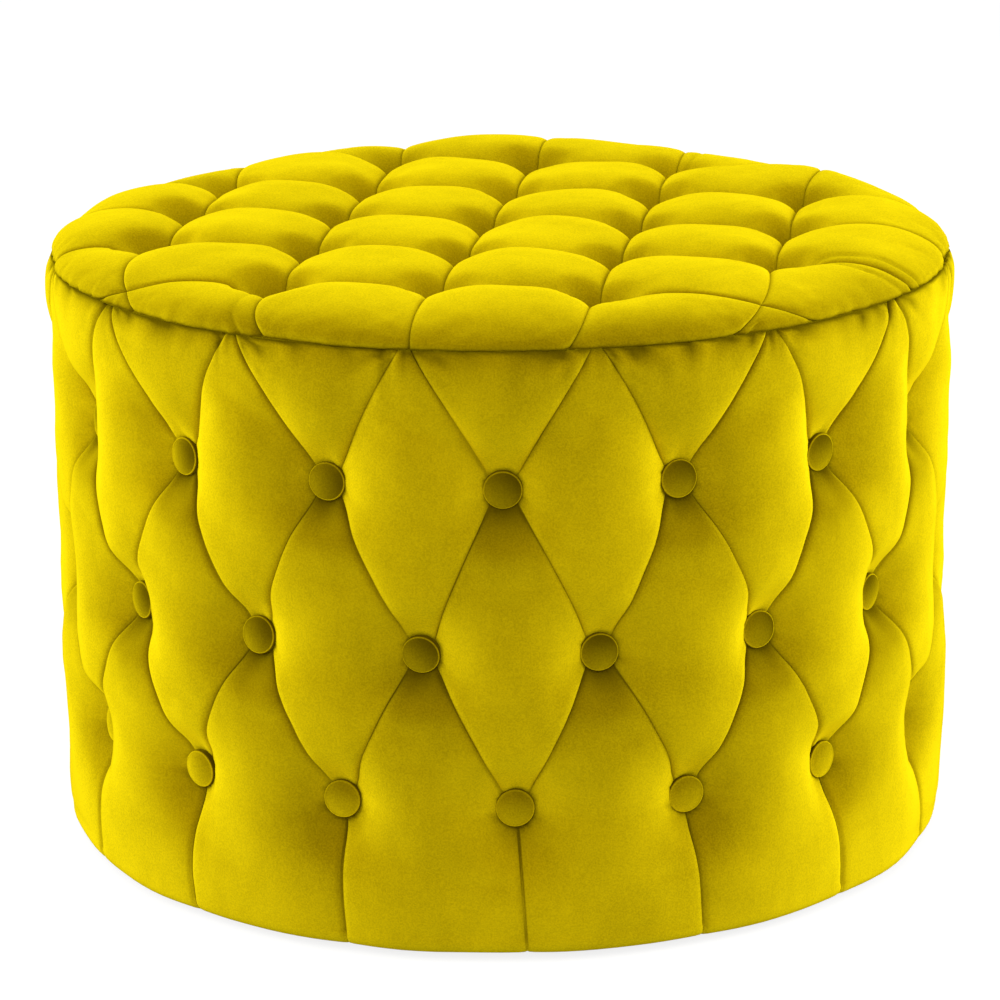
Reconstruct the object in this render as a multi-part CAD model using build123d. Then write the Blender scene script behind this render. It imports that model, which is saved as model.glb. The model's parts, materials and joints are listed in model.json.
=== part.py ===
from build123d import *

import os
from math import asin, ceil, cos, degrees, hypot, pi, radians, sin, sqrt
from typing import NamedTuple

# A round, deep-buttoned ottoman. A timber drum is padded with foam and fibre wadding, covered in velvet
# and tufted: covered buttons are pulled in by twines that are knotted behind washers inside the drum.
# The two covers are solids with their stuffed pockets, and everything under them is plain.
# Millimetres, +Z up, the floor at Z = 0, the axis of the drum on Z, the front towards -Y.

# Overall sizes
OVERALL_DIAMETER = 600.0        # across the crowns of the side pockets
OVERALL_HEIGHT = 420.0          # floor to the crowns of the top pockets
SEAM_DROP = 25.0                # crown of the top down to the seam between top and side
SEAM_INSET = 4.0                # how far the side draws in where it meets the seam
SEAM_ROUND = 30.0               # height over which it draws in
BOTTOM_ROUND = 18.0             # radius of the tucked-under bottom edge

# Buttons of the side: three staggered rows
BUTTONS_PER_ROW = 16
UPPER_ROW_DROP = 90.5           # seam to the upper row
MIDDLE_ROW_DROP = 106.0         # upper row to the middle row
LOWER_ROW_DROP = 99.5           # middle row to the lower row
UPPER_ROW_TURN = 0.2            # degrees that each row is turned from the front
MIDDLE_ROW_TURN = 1.0
LOWER_ROW_TURN = 1.5
SIDE_BUTTON_RECESS = 20.0       # crown of the pockets to the face of a button
SIDE_PLEAT_DEPTH = 8.0          # crown to the fold, halfway between two buttons
EDGE_PLEAT_DEPTH = 4.0          # crown to the fold at the seam and at the bottom edge
FOLD_WIDTH = 4.0                # width of a closed fold
FOLD_CLOSING = 24.0             # height in which the folds under the lower row close

# Tufts of the top: a square grid, set slightly off the axis by hand
TOP_TUFT_PITCH = 100.0
TOP_GRID_TURN = -9.2            # degrees about Z
TOP_GRID_SHIFT = -8.0           # along X
TOP_TUFT_MARGIN = 10.0          # least distance from a tuft to the rim of the top board
TOP_BUTTON_RECESS = 30.0        # crown to the face of a button
TOP_PLEAT_DEPTH = 10.0          # crown to the fold, halfway between two buttons
TOP_RIM_EASE = 0.2              # share of its rise that a rim pocket lacks at its middle
TOP_RIM_ROUND = 30.0            # width of the rounding from the crown down to the seam
LEAST_RISE = 0.6                # of a pocket's section over its two folds

# Covered buttons
BUTTON_DIAMETER = 25.0
BUTTON_HEIGHT = 7.0
BUTTON_EDGE = 2.2               # height of the straight edge below the dome
BUTTON_SHELL = 0.9              # metal cap and its velvet
BUTTON_PLATE = 1.0              # back plate pressed into the cap
EYE_RADIUS = 3.0                # wire loop on the back plate
EYE_WIRE = 1.4
SEAT_MARGIN = 0.8               # flat ring of cover around a button

# Tufting twine and the washers that hold it
TWINE_DIAMETER = 2.0
KNOT_DIAMETER = 5.0
KNOT_LENGTH = 4.0
WASHER_DIAMETER = 12.0
WASHER_THICKNESS = 2.0
TWINE_HOLE = 4.0                # drilled in wall and top board
FOAM_HOLE = 12.0                # punched in the foam

# Cover and padding
VELVET = 1.5                    # cover left under a button, and turned in under the frame
SIDE_WADDING = 5.0
TOP_WADDING = 5.0
SIDE_FOAM = 18.0
TOP_FOAM = 38.0
FLANGE_RADIUS = 222.0           # inner edge of the velvet turned in under the frame

# Timber drum
WALL = 4.0                      # bent hardboard
WALL_JOINT = 1.0                # gap where its two ends meet on a post
BOARD = 15.0                    # plywood of the base ring and the top board
HAND_HOLE_RADIUS = 130.0        # opening in the base ring, for tying the twines
POST_COUNT = 8
POST_TURN = 28.75               # degrees from +X, clear of all the twines
POST_WIDTH = 20.0
POST_DEPTH = 30.0
POST_CHAMFER = 1.0
SCREW_LENGTH = 45.0
SCREW_DIAMETER = 4.5
SCREW_HEAD = 9.0

# Staples, dust cover and glides
STAPLE_CROWN = 10.0
STAPLE_LEG = 8.0
STAPLE_WIRE = 0.9
WALL_STAPLES_PER_POST = 3
WALL_STAPLE_MARGIN = 40.0       # from the ends of the wall
WALL_STAPLE_SIDE = 5.0          # from the middle of a post, to both sides
DUST_COVER = 0.6
DUST_COVER_LAP = 8.0            # how far it covers the turned-in velvet
DUST_STAPLES = 32
DUST_STAPLE_INSET = 8.0         # from the inner edge of the turned-in velvet
GLIDE_COUNT = 6
GLIDE_HEIGHT = 6.0
GLIDE_DIAMETER = 26.0
GLIDE_EDGE = 1.5
GLIDE_RADIUS = 180.0            # of the circle they stand on
NAIL_DIAMETER = 2.6
NAIL_HEAD = 9.0
NAIL_HEAD_THICKNESS = 1.4
NAIL_DEPTH = 14.0               # above the pad

# Clearances
SOFT_GAP = 0.3                  # between soft or curved faces
HOLE_GAP = 0.5                  # around what passes through a hole
TOUCH = 0.05                    # between pieces that bear on each other
TRIM = 2.0                      # how far a cutting form passes what it trims

# Sections of the tufted forms
ZONE_STEPS = 4                  # between two rows of buttons
BOTTOM_STEPS = 3                # in the rounded bottom edge

# Heights, from the floor up
DUST_COVER_Z = GLIDE_HEIGHT
COVER_BOTTOM = DUST_COVER_Z + DUST_COVER
FRAME_BOTTOM = COVER_BOTTOM + VELVET
POST_BOTTOM = FRAME_BOTTOM + BOARD
SEAM_Z = OVERALL_HEIGHT - SEAM_DROP
TOP_SEAT_Z = OVERALL_HEIGHT - TOP_BUTTON_RECESS - BUTTON_HEIGHT - TOUCH
TOP_COVER_BASE = TOP_SEAT_Z - VELVET
FOAM_TOP = TOP_COVER_BASE - TOP_WADDING
BOARD_TOP = FOAM_TOP - TOP_FOAM
POST_TOP = BOARD_TOP - BOARD

# Radii, from the outside in
CROWN_RADIUS = OVERALL_DIAMETER / 2
SIDE_SEAT_DEPTH = SIDE_BUTTON_RECESS + BUTTON_HEIGHT + SOFT_GAP
SIDE_SEAT = CROWN_RADIUS - SIDE_SEAT_DEPTH
SIDE_COVER_INNER = SIDE_SEAT - VELVET
WADDING_RADIUS = SIDE_COVER_INNER - SOFT_GAP
FOAM_RADIUS = WADDING_RADIUS - SIDE_WADDING - SOFT_GAP
WALL_OUTER = FOAM_RADIUS - SIDE_FOAM - SOFT_GAP
WALL_INNER = WALL_OUTER - WALL
FRAME_RADIUS = WALL_INNER - SOFT_GAP
POST_FACE = sqrt(FRAME_RADIUS**2 - (POST_WIDTH / 2) ** 2)
POST_CENTRE = POST_FACE - POST_DEPTH / 2
SEAT_HALF = BUTTON_DIAMETER / 2 + SEAT_MARGIN
EYE_REACH = EYE_RADIUS + EYE_WIRE / 2
EYE_HOLE = EYE_REACH + HOLE_GAP


class ButtonRow(NamedTuple):
    """One ring of side buttons: its name, height, turn in degrees and shift in steps."""

    name: str
    height: float
    turn: float
    shift: float


STEP = 360 / BUTTONS_PER_ROW
UPPER_ROW = ButtonRow("upper", SEAM_Z - UPPER_ROW_DROP, UPPER_ROW_TURN, 0.0)
MIDDLE_ROW = ButtonRow("middle", UPPER_ROW.height - MIDDLE_ROW_DROP, MIDDLE_ROW_TURN, 0.5)
LOWER_ROW = ButtonRow("lower", MIDDLE_ROW.height - LOWER_ROW_DROP, LOWER_ROW_TURN, 0.0)
SIDE_ROWS = (UPPER_ROW, MIDDLE_ROW, LOWER_ROW)


def polar(radius, angle, z=0.0):
    """Point at a radius and height, with the angle in degrees from the front."""
    return (radius * sin(radians(angle)), -radius * cos(radians(angle)), z)


def side_plane(row, column, radius):
    """Plane on a side button's axis at a radius, facing outwards."""
    angle = (column + row.shift) * STEP + row.turn
    outward = polar(1.0, angle)
    return Plane(origin=polar(radius, angle, row.height), x_dir=(0, 0, 1), z_dir=outward)


def side_planes(radius, rows=SIDE_ROWS):
    """Planes of all the side buttons of some rows at a radius."""
    return [side_plane(row, column, radius) for row in rows for column in range(BUTTONS_PER_ROW)]


# The square grid of the top: its tufts are the grid points that the top board can hold
GRID_REACH = ceil((CROWN_RADIUS + abs(TOP_GRID_SHIFT)) / TOP_TUFT_PITCH)
GRID_PLACE = Pos(TOP_GRID_SHIFT, 0, 0) * Rot(0, 0, TOP_GRID_TURN)


def grid_point(column, row, z):
    """A grid point of the top in the frame of the part."""
    return (GRID_PLACE * Pos(column * TOP_TUFT_PITCH, row * TOP_TUFT_PITCH, z)).position


def is_tuft(column, row):
    """Whether a grid point lies far enough inside the top board to be tufted."""
    point = grid_point(column, row, 0)
    return hypot(point.X, point.Y) <= FRAME_RADIUS - TOP_TUFT_MARGIN


GRID_RANGE = range(-GRID_REACH, GRID_REACH + 1)
TOP_TUFTS = [(column, row) for column in GRID_RANGE for row in GRID_RANGE if is_tuft(column, row)]
PLEAT_LINES = {column for column, row in TOP_TUFTS}


def top_planes(z):
    """Planes of all the top buttons at a height, facing up."""
    return [Plane(origin=grid_point(column, row, z)) for column, row in TOP_TUFTS]


def rods(planes, diameter, start, end):
    """Round rods along the axes of some planes, between two heights over each plane."""
    rod = Pos(0, 0, (start + end) / 2) * Cylinder(diameter / 2, end - start)
    return [plane * rod for plane in planes]


def ring(outer, inner, bottom, top):
    """Flat or tubular ring between two heights."""
    return Pos(0, 0, bottom) * extrude(Circle(outer) - Circle(inner), top - bottom)


def disc(radius, bottom, top):
    """Round disc between two heights."""
    return Pos(0, 0, bottom) * extrude(Circle(radius), top - bottom)


def save(name, shape):
    """Writes one solid, or a list of them as one group, under the name of its node."""
    if isinstance(shape, list):
        shape = Compound(children=[solid for item in shape for solid in item.solids()])
    export_step(shape, f"parts/{name}.step")


# Tufted form of the side

class SideLevel(NamedTuple):
    """Section of the tufted side at one height.

    spread is how far the two folds of a column lie from its middle, in steps, crown is the radius
    of the pockets, and depth is how far the folds lie below it.
    """

    z: float
    turn: float
    spread: float
    crown: float
    depth: float


SEAT_SPREAD = degrees(SEAT_HALF / SIDE_SEAT) / STEP
FOLD_SPREAD = degrees(FOLD_WIDTH / 2 / CROWN_RADIUS) / STEP
RIM_RADIUS = CROWN_RADIUS - SEAM_INSET - EDGE_PLEAT_DEPTH / 2


def blend(start, end, share):
    """Straight blend of two values."""
    return start + (end - start) * share


def unit(value):
    """A value held between 0 and 1."""
    return min(1.0, max(0.0, value))


def crown_radius(z):
    """Radius of the pocket crowns above the bottom edge: full, and drawn in at the seam."""
    to_seam = unit((z - SEAM_Z + SEAM_ROUND) / SEAM_ROUND)
    return CROWN_RADIUS - SEAM_INSET * to_seam**2


def zone(upper, lower, middle_depth):
    """Levels between two levels: straight folds, shallowest halfway."""
    levels = []
    for index in range(1, ZONE_STEPS):
        share = index / ZONE_STEPS
        z, turn, spread = (blend(upper[k], lower[k], share) for k in range(3))
        end_depth = upper.depth if share < 0.5 else lower.depth
        depth = blend(middle_depth, end_depth, cos(pi * share) ** 2)
        levels.append(SideLevel(z, turn, spread, crown_radius(z), depth))
    return levels


def seat_levels(row, spread):
    """The levels just above and just below a row of buttons, where the cover lies flat."""
    heights = (row.height + SEAT_HALF, row.height - SEAT_HALF)
    return [SideLevel(z, row.turn, spread, crown_radius(z), SIDE_SEAT_DEPTH) for z in heights]


def side_levels():
    """Levels of the velvet's face, from the seam to the bottom edge."""
    seam = SideLevel(SEAM_Z, UPPER_ROW_TURN, 0.5 - FOLD_SPREAD, crown_radius(SEAM_Z), EDGE_PLEAT_DEPTH)
    upper = seat_levels(UPPER_ROW, SEAT_SPREAD)
    middle = seat_levels(MIDDLE_ROW, 0.5 - SEAT_SPREAD)
    lower = seat_levels(LOWER_ROW, SEAT_SPREAD)
    closed_z = lower[1].z - FOLD_CLOSING
    closed = SideLevel(closed_z, LOWER_ROW_TURN, FOLD_SPREAD, CROWN_RADIUS, SIDE_PLEAT_DEPTH)
    levels = [seam] + zone(seam, upper[0], EDGE_PLEAT_DEPTH) + upper
    levels += zone(upper[1], middle[0], SIDE_PLEAT_DEPTH) + middle
    levels += zone(middle[1], lower[0], SIDE_PLEAT_DEPTH) + lower + [closed]
    for index in range(BOTTOM_STEPS + 1):
        tuck = pi / 2 * index / BOTTOM_STEPS
        z = COVER_BOTTOM + BOTTOM_ROUND * (1 - sin(tuck))
        crown = CROWN_RADIUS - BOTTOM_ROUND * (1 - cos(tuck))
        levels.append(SideLevel(z, LOWER_ROW_TURN, FOLD_SPREAD, crown, EDGE_PLEAT_DEPTH))
    return levels


def swell(width):
    """Share of the fold's depth that a pocket rises to, from its width in steps."""
    return sin(pi / 2 * unit((width - 2 * SEAT_SPREAD) / (1 - 4 * SEAT_SPREAD)))


def side_section(level):
    """Closed section of the tufted side: arcs that meet at the folds."""
    fold = level.crown - level.depth
    arcs = []
    for column in range(BUTTONS_PER_ROW):
        middle = column * STEP + level.turn
        left, right = middle - level.spread * STEP, middle + level.spread * STEP
        for start, end in ((left, right), (right, left + STEP)):
            rise = level.depth * swell((end - start) / STEP)
            points = (polar(fold, start, level.z), polar(fold + rise, (start + end) / 2, level.z))
            arcs.append(Edge.make_three_point_arc(*points, polar(fold, end, level.z)))
    return Wire(arcs)


def side_cover():
    """Velvet of the side with its stuffed pockets, turned in under the frame."""
    form = Solid.make_loft([side_section(level) for level in side_levels()], ruled=True)
    core = disc(SIDE_COVER_INNER, FRAME_BOTTOM, OVERALL_HEIGHT)
    opening = disc(FLANGE_RADIUS, 0, OVERALL_HEIGHT)
    return form - [core, opening, *rods(side_planes(SIDE_SEAT), 2 * EYE_HOLE, -TRIM, SEAT_HALF)]


def side_wadding():
    """Fibre wadding wrapped over the side foam, up to the seam."""
    sleeve = ring(WADDING_RADIUS, FOAM_RADIUS + SOFT_GAP, FRAME_BOTTOM + SOFT_GAP, FOAM_TOP)
    return sleeve - rods(side_planes(FOAM_RADIUS), 2 * EYE_HOLE, -TRIM, SIDE_WADDING + TRIM)


# Tufted form of the top, in the frame of its grid

TOP_SEAT_DEPTH = OVERALL_HEIGHT - TOP_SEAT_Z


def is_pleat(line):
    """Whether a grid line of either direction carries tufts."""
    return line in PLEAT_LINES


def fold_share(distance):
    """How far a fold has risen from a tuft towards the halfway point, from 0 to 1."""
    return unit((distance - SEAT_HALF) / (TOP_TUFT_PITCH / 2 - SEAT_HALF))


def crown_height(v):
    """Height of the middle of a strip: its pockets dip at each cross fold."""
    row = round(v / TOP_TUFT_PITCH)
    if not is_pleat(row):
        return OVERALL_HEIGHT
    rise = sin(pi / 2 * unit(abs(v - row * TOP_TUFT_PITCH) / (TOP_TUFT_PITCH / 2)))
    return OVERALL_HEIGHT - TOP_PLEAT_DEPTH * (1 - rise)


def fold_height(column, v):
    """Height of the fold along a grid line: it dips at each tuft."""
    row = round(v / TOP_TUFT_PITCH)
    if not is_pleat(column):
        return crown_height(v)
    dip = 0.0
    if (column, row) in TOP_TUFTS:
        dip = 1 - sin(pi / 2 * fold_share(abs(v - row * TOP_TUFT_PITCH)))
    return OVERALL_HEIGHT - blend(TOP_PLEAT_DEPTH, TOP_SEAT_DEPTH, dip)


def fold_half_width(column, v):
    """Half the width of the fold: as wide as the button at a tuft, closed elsewhere."""
    row = round(v / TOP_TUFT_PITCH)
    if (column, row) not in TOP_TUFTS:
        return FOLD_WIDTH / 2
    return blend(SEAT_HALF, FOLD_WIDTH / 2, fold_share(abs(v - row * TOP_TUFT_PITCH)))


def strip_section(column, v):
    """Section of the strip between two grid lines: half a fold, an arc and half a fold."""
    left, right = column * TOP_TUFT_PITCH, (column + 1) * TOP_TUFT_PITCH
    left_z, right_z = fold_height(column, v), fold_height(column + 1, v)
    left_end = left + fold_half_width(column, v)
    right_end = right - fold_half_width(column + 1, v)
    middle_z = crown_height(v)
    if not (is_pleat(column) and is_pleat(column + 1)):
        middle_z = blend(middle_z, min(left_z, right_z), TOP_RIM_EASE)
    middle_z = max(middle_z, (left_z + right_z) / 2 + LEAST_RISE)
    edges = [Edge.make_line((left, v, left_z), (left_end, v, left_z))]
    start, end = (left_end, v, left_z), (right_end, v, right_z)
    edges.append(Edge.make_three_point_arc(start, ((left + right) / 2, v, middle_z), end))
    edges.append(Edge.make_line((right_end, v, right_z), (right, v, right_z)))
    return Wire(edges)


def strip_stations():
    """Places along a strip where its section is drawn."""
    reach = GRID_REACH * TOP_TUFT_PITCH
    half = TOP_TUFT_PITCH / 2
    stations = {-reach, reach}
    for line in PLEAT_LINES:
        for offset in (0.0, SEAT_HALF, (SEAT_HALF + half) / 2, half):
            stations |= {line * TOP_TUFT_PITCH - offset, line * TOP_TUFT_PITCH + offset}
    return sorted(stations)


def tufted_block(bottom):
    """Square block whose upper face is the tufted top."""
    stations = strip_stations()
    strips = []
    for column in range(-GRID_REACH, GRID_REACH):
        strips.append([strip_section(column, v) for v in stations])
    faces = []
    for sections in strips:
        faces += Shell.make_loft(sections, ruled=True).faces()
    low, high = stations[0], stations[-1]
    floor = [(low, low, bottom), (high, low, bottom), (high, high, bottom), (low, high, bottom)]
    faces.append(Face(Wire.make_polygon(floor)))
    for u, column in ((low, -GRID_REACH), (high, GRID_REACH)):
        ridge = [(u, v, fold_height(column, v)) for v in stations]
        faces.append(Face(Wire.make_polygon([(u, low, bottom), *ridge, (u, high, bottom)])))
    for index, v in ((0, low), (-1, high)):
        ridge = [edge for sections in strips for edge in sections[index].edges()]
        ends = [fold_height(column, v) for column in (-GRID_REACH, GRID_REACH)]
        lines = [((low, v, ends[0]), (low, v, bottom)), ((low, v, bottom), (high, v, bottom))]
        lines.append(((high, v, bottom), (high, v, ends[1])))
        faces.append(Face(Wire(ridge + [Edge.make_line(*line) for line in lines])))
    return GRID_PLACE * Solid(Shell(faces))


def rim_form():
    """Round form that trims the top: its foot inside the side cover, the seam and the rounded rim."""
    inner, top = RIM_RADIUS - TOP_RIM_ROUND, OVERALL_HEIGHT + TRIM
    seam = (RIM_RADIUS, SEAM_Z)
    bulge = (blend(inner, RIM_RADIUS, cos(pi / 4)), blend(SEAM_Z, top, sin(pi / 4)))
    foot = [(0, TOP_COVER_BASE), (WADDING_RADIUS, TOP_COVER_BASE), (WADDING_RADIUS, SEAM_Z), seam]
    outline = [Polyline(*foot), ThreePointArc(seam, bulge, (inner, top))]
    outline.append(Polyline((inner, top), (0, top), foot[0]))
    return revolve(Plane.XZ * make_face(outline), Axis.Z)


def top_cover():
    """Velvet of the top with its stuffed pockets, ending at the seam."""
    holes = rods(top_planes(TOP_SEAT_Z), 2 * EYE_HOLE, -TRIM, SEAT_HALF)
    return (tufted_block(TOP_COVER_BASE - TRIM) & rim_form()) - holes


def top_wadding():
    """Fibre wadding between the top foam and the cover."""
    blanket = disc(WADDING_RADIUS, FOAM_TOP, TOP_COVER_BASE)
    return blanket - rods(top_planes(FOAM_TOP), 2 * EYE_HOLE, -TRIM, TOP_WADDING + TRIM)


# Buttons, twines and washers, drawn on a button's axis with its back at 0

SIDE_BUTTON_PLANE = SIDE_SEAT + SOFT_GAP
TOP_BUTTON_PLANE = TOP_SEAT_Z + TOUCH
WASHER_SEAT = sqrt(WALL_INNER**2 - (WASHER_DIAMETER / 2) ** 2) - TOUCH
SIDE_TWINE_LENGTH = SIDE_BUTTON_PLANE - WASHER_SEAT + WASHER_THICKNESS + TOUCH
TOP_TWINE_LENGTH = TOP_BUTTON_PLANE - POST_TOP + WASHER_THICKNESS + TOUCH


def spin(outline):
    """Turns a closed outline, drawn as radius and height, around Z."""
    return revolve(Plane.XZ * make_face(outline), Axis.Z)


def dome(radius, edge, top):
    """Arc of a dome from its edge to its top on the axis."""
    sphere = (radius**2 + (top - edge) ** 2) / (2 * (top - edge))
    half_angle = asin(radius / sphere) / 2
    middle = (sphere * sin(half_angle), top - sphere * (1 - cos(half_angle)))
    return ThreePointArc((radius, edge), middle, (0, top))


def button_cap():
    """Domed metal cap, covered in velvet and open at the back."""
    outer = BUTTON_DIAMETER / 2
    inner, crown = outer - BUTTON_SHELL, BUTTON_HEIGHT - BUTTON_SHELL
    return spin([
        Polyline((inner, BUTTON_EDGE), (inner, 0), (outer, 0), (outer, BUTTON_EDGE)),
        dome(outer, BUTTON_EDGE, BUTTON_HEIGHT),
        Line((0, BUTTON_HEIGHT), (0, crown)),
        dome(inner, BUTTON_EDGE, crown),
    ])


def button_back():
    """Back plate, pressed into the cap, with the wire eye that the twine pulls on."""
    plate = disc(BUTTON_DIAMETER / 2 - BUTTON_SHELL - TOUCH, 0, BUTTON_PLATE)
    bend = ThreePointArc((-EYE_RADIUS, 0, 0), (0, 0, -EYE_RADIUS), (EYE_RADIUS, 0, 0))
    return plate + sweep(Plane(origin=(-EYE_RADIUS, 0, 0)) * Circle(EYE_WIRE / 2), path=bend)


def twine(length):
    """Twine from the eye to the back of its washer, ending in a knot."""
    thin, thick = TWINE_DIAMETER / 2, KNOT_DIAMETER / 2
    start, end = -EYE_REACH - TOUCH, -length - KNOT_LENGTH
    knot = [(thin, -length), (thick, -length), (thick, end + thin), (thin, end), (0, end)]
    return spin(Polyline((0, start), (thin, start), *knot, close=True))


def washer():
    """Flat washer below the plane that it bears on."""
    return ring(WASHER_DIAMETER / 2, (TWINE_DIAMETER + HOLE_GAP) / 2, -WASHER_THICKNESS, 0)


def copies(piece, planes):
    """Copies of a piece on some planes."""
    return [plane * piece for plane in planes]


# Fasteners

def screw():
    """Countersunk wood screw with its head's face at 0, pointing down."""
    head, shank = SCREW_HEAD / 2, SCREW_DIAMETER / 2
    tip = [(shank, -SCREW_LENGTH + SCREW_DIAMETER), (0, -SCREW_LENGTH)]
    return spin(Polyline((0, 0), (head, 0), (shank, shank - head), *tip, close=True))


def staple(margin=0.0):
    """Wire staple with the face of its crown at 0, pointing down, or its slot with a margin around it."""
    top = (Align.CENTER, Align.MAX)
    outline = Pos(0, margin) * Rectangle(STAPLE_CROWN + 2 * margin, STAPLE_LEG + 2 * margin, align=top)
    between = STAPLE_CROWN - 2 * STAPLE_WIRE - 2 * margin
    opening = Pos(0, -STAPLE_WIRE - margin) * Rectangle(between, STAPLE_LEG, align=top)
    return extrude(Plane.XZ * (outline - opening), STAPLE_WIRE / 2 + margin, both=True)


def around(count, radius, z, facing, turn=0.0):
    """Planes evenly spaced on a circle, facing up or down, with X along the circle."""
    planes = []
    for index in range(count):
        angle = turn + 360 * index / count
        along = polar(1, angle + 90)
        planes.append(Plane(origin=polar(radius, angle, z), x_dir=along, z_dir=(0, 0, facing)))
    return planes


def post_angles():
    """Angles of the posts from the front."""
    return [POST_TURN + 360 * index / POST_COUNT for index in range(POST_COUNT)]


def wall_staple_planes():
    """Planes on the outside of the wall, in two columns in front of each post."""
    low, high = FRAME_BOTTOM + WALL_STAPLE_MARGIN, BOARD_TOP - WALL_STAPLE_MARGIN
    aside = degrees(WALL_STAPLE_SIDE / WALL_OUTER)
    planes = []
    for angle in [post + side * aside for post in post_angles() for side in (-1, 1)]:
        for place in range(WALL_STAPLES_PER_POST):
            z = blend(low, high, place / (WALL_STAPLES_PER_POST - 1))
            origin = polar(WALL_OUTER - TOUCH, angle, z)
            planes.append(Plane(origin=origin, x_dir=(0, 0, 1), z_dir=polar(1, angle)))
    return planes


WALL_STAPLES = copies(staple(), wall_staple_planes())
WALL_STAPLE_SLOTS = copies(staple(TOUCH), wall_staple_planes())
DUST_STAPLE_RADIUS = FLANGE_RADIUS - DUST_STAPLE_INSET
DUST_STAPLE_PLANES = around(DUST_STAPLES, DUST_STAPLE_RADIUS, DUST_COVER_Z - STAPLE_WIRE, -1)
DUST_COVER_STAPLES = copies(staple(), DUST_STAPLE_PLANES)
DUST_STAPLE_SLOTS = copies(staple(TOUCH), DUST_STAPLE_PLANES)
TOP_SCREWS = copies(screw(), around(POST_COUNT, POST_CENTRE, BOARD_TOP, 1, POST_TURN))
BASE_SCREWS = copies(screw(), around(POST_COUNT, POST_CENTRE, FRAME_BOTTOM, -1, POST_TURN))


# Timber drum

def base_ring():
    """Plywood ring that the drum stands on, open in the middle for tying the twines."""
    board = ring(FRAME_RADIUS, HAND_HOLE_RADIUS, FRAME_BOTTOM, POST_BOTTOM)
    return board - [*BASE_SCREWS, *DUST_STAPLE_SLOTS, *GLIDE_NAILS]


def top_board():
    """Plywood disc under the top foam, drilled for the twines of the top tufts."""
    holes = rods(top_planes(POST_TOP), TWINE_HOLE, -TRIM, BOARD + TRIM)
    return disc(FRAME_RADIUS, POST_TOP, BOARD_TOP) - [*holes, *TOP_SCREWS]


def post(angle):
    """Upright batten between the base ring and the top board."""
    height = POST_TOP - POST_BOTTOM
    batten = chamfer(Box(POST_WIDTH, POST_DEPTH, height).edges().filter_by(Axis.Z), POST_CHAMFER)
    place = Pos(*polar(POST_CENTRE, angle, POST_BOTTOM + height / 2)) * Rot(0, 0, angle)
    return place * batten - [*TOP_SCREWS, *BASE_SCREWS, *WALL_STAPLE_SLOTS]


def side_wall():
    """Hardboard bent around the boards, its ends meeting on a post, drilled for the side twines."""
    wall = ring(WALL_OUTER, WALL_INNER, FRAME_BOTTOM, BOARD_TOP)
    height = BOARD_TOP - FRAME_BOTTOM
    joint_place = Pos(*polar(WALL_INNER, POST_TURN, FRAME_BOTTOM + height / 2)) * Rot(0, 0, POST_TURN)
    joint = joint_place * Box(WALL_JOINT, 4 * WALL, height + TRIM)
    holes = rods(side_planes(WALL_OUTER), TWINE_HOLE, -2 * WALL, WALL)
    return wall - [joint, *holes, *WALL_STAPLE_SLOTS]


# Foam

def side_foam():
    """Foam wrapped around the wall, punched at each button."""
    sleeve = ring(FOAM_RADIUS, WALL_OUTER + SOFT_GAP, FRAME_BOTTOM + SOFT_GAP, BOARD_TOP)
    return sleeve - rods(side_planes(WALL_OUTER), FOAM_HOLE, -TRIM, SIDE_FOAM + FOAM_HOLE)


def top_foam():
    """Foam disc on the top board, punched at each button."""
    holes = rods(top_planes(BOARD_TOP), FOAM_HOLE, -TRIM, TOP_FOAM + TRIM)
    return disc(FOAM_RADIUS, BOARD_TOP, FOAM_TOP) - holes


# Underside

def glide_nail():
    """Nail with its head sunk in the glide, drawn with the floor at 0."""
    head, shank = NAIL_HEAD / 2, NAIL_DIAMETER / 2
    low = (GLIDE_HEIGHT - NAIL_HEAD_THICKNESS) / 2
    high, tip = low + NAIL_HEAD_THICKNESS, GLIDE_HEIGHT + NAIL_DEPTH
    outline = [(0, low), (head, low), (head, high), (shank, high), (shank, tip - NAIL_DIAMETER), (0, tip)]
    return spin(Polyline(*outline, close=True))


def glide():
    """Round nylon glide with a softened edge, moulded around its nail."""
    pad = disc(GLIDE_DIAMETER / 2, 0, GLIDE_HEIGHT)
    return fillet(pad.edges().sort_by(Axis.Z)[0], GLIDE_EDGE) - glide_nail()


GLIDE_PLANES = around(GLIDE_COUNT, GLIDE_RADIUS, 0, 1)
GLIDE_NAILS = copies(glide_nail(), GLIDE_PLANES)


def dust_cover():
    """Black cloth closing the underside, over the edge of the turned-in velvet."""
    cloth = disc(FLANGE_RADIUS + DUST_COVER_LAP, DUST_COVER_Z, COVER_BOTTOM)
    return cloth - [*DUST_STAPLE_SLOTS, *GLIDE_NAILS]


os.makedirs("parts", exist_ok=True)

save("base_ring", base_ring())
save("top_board", top_board())
for number, angle in enumerate(post_angles(), start=1):
    save(f"post_{number}", post(angle))
save("side_wall", side_wall())
save("wall_staples", WALL_STAPLES)
save("top_board_screws", TOP_SCREWS)
save("base_ring_screws", BASE_SCREWS)

save("side_foam", side_foam())
save("top_foam", top_foam())
save("side_wadding", side_wadding())
save("top_wadding", top_wadding())
save("side_cover", side_cover())
save("top_cover", top_cover())

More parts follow.
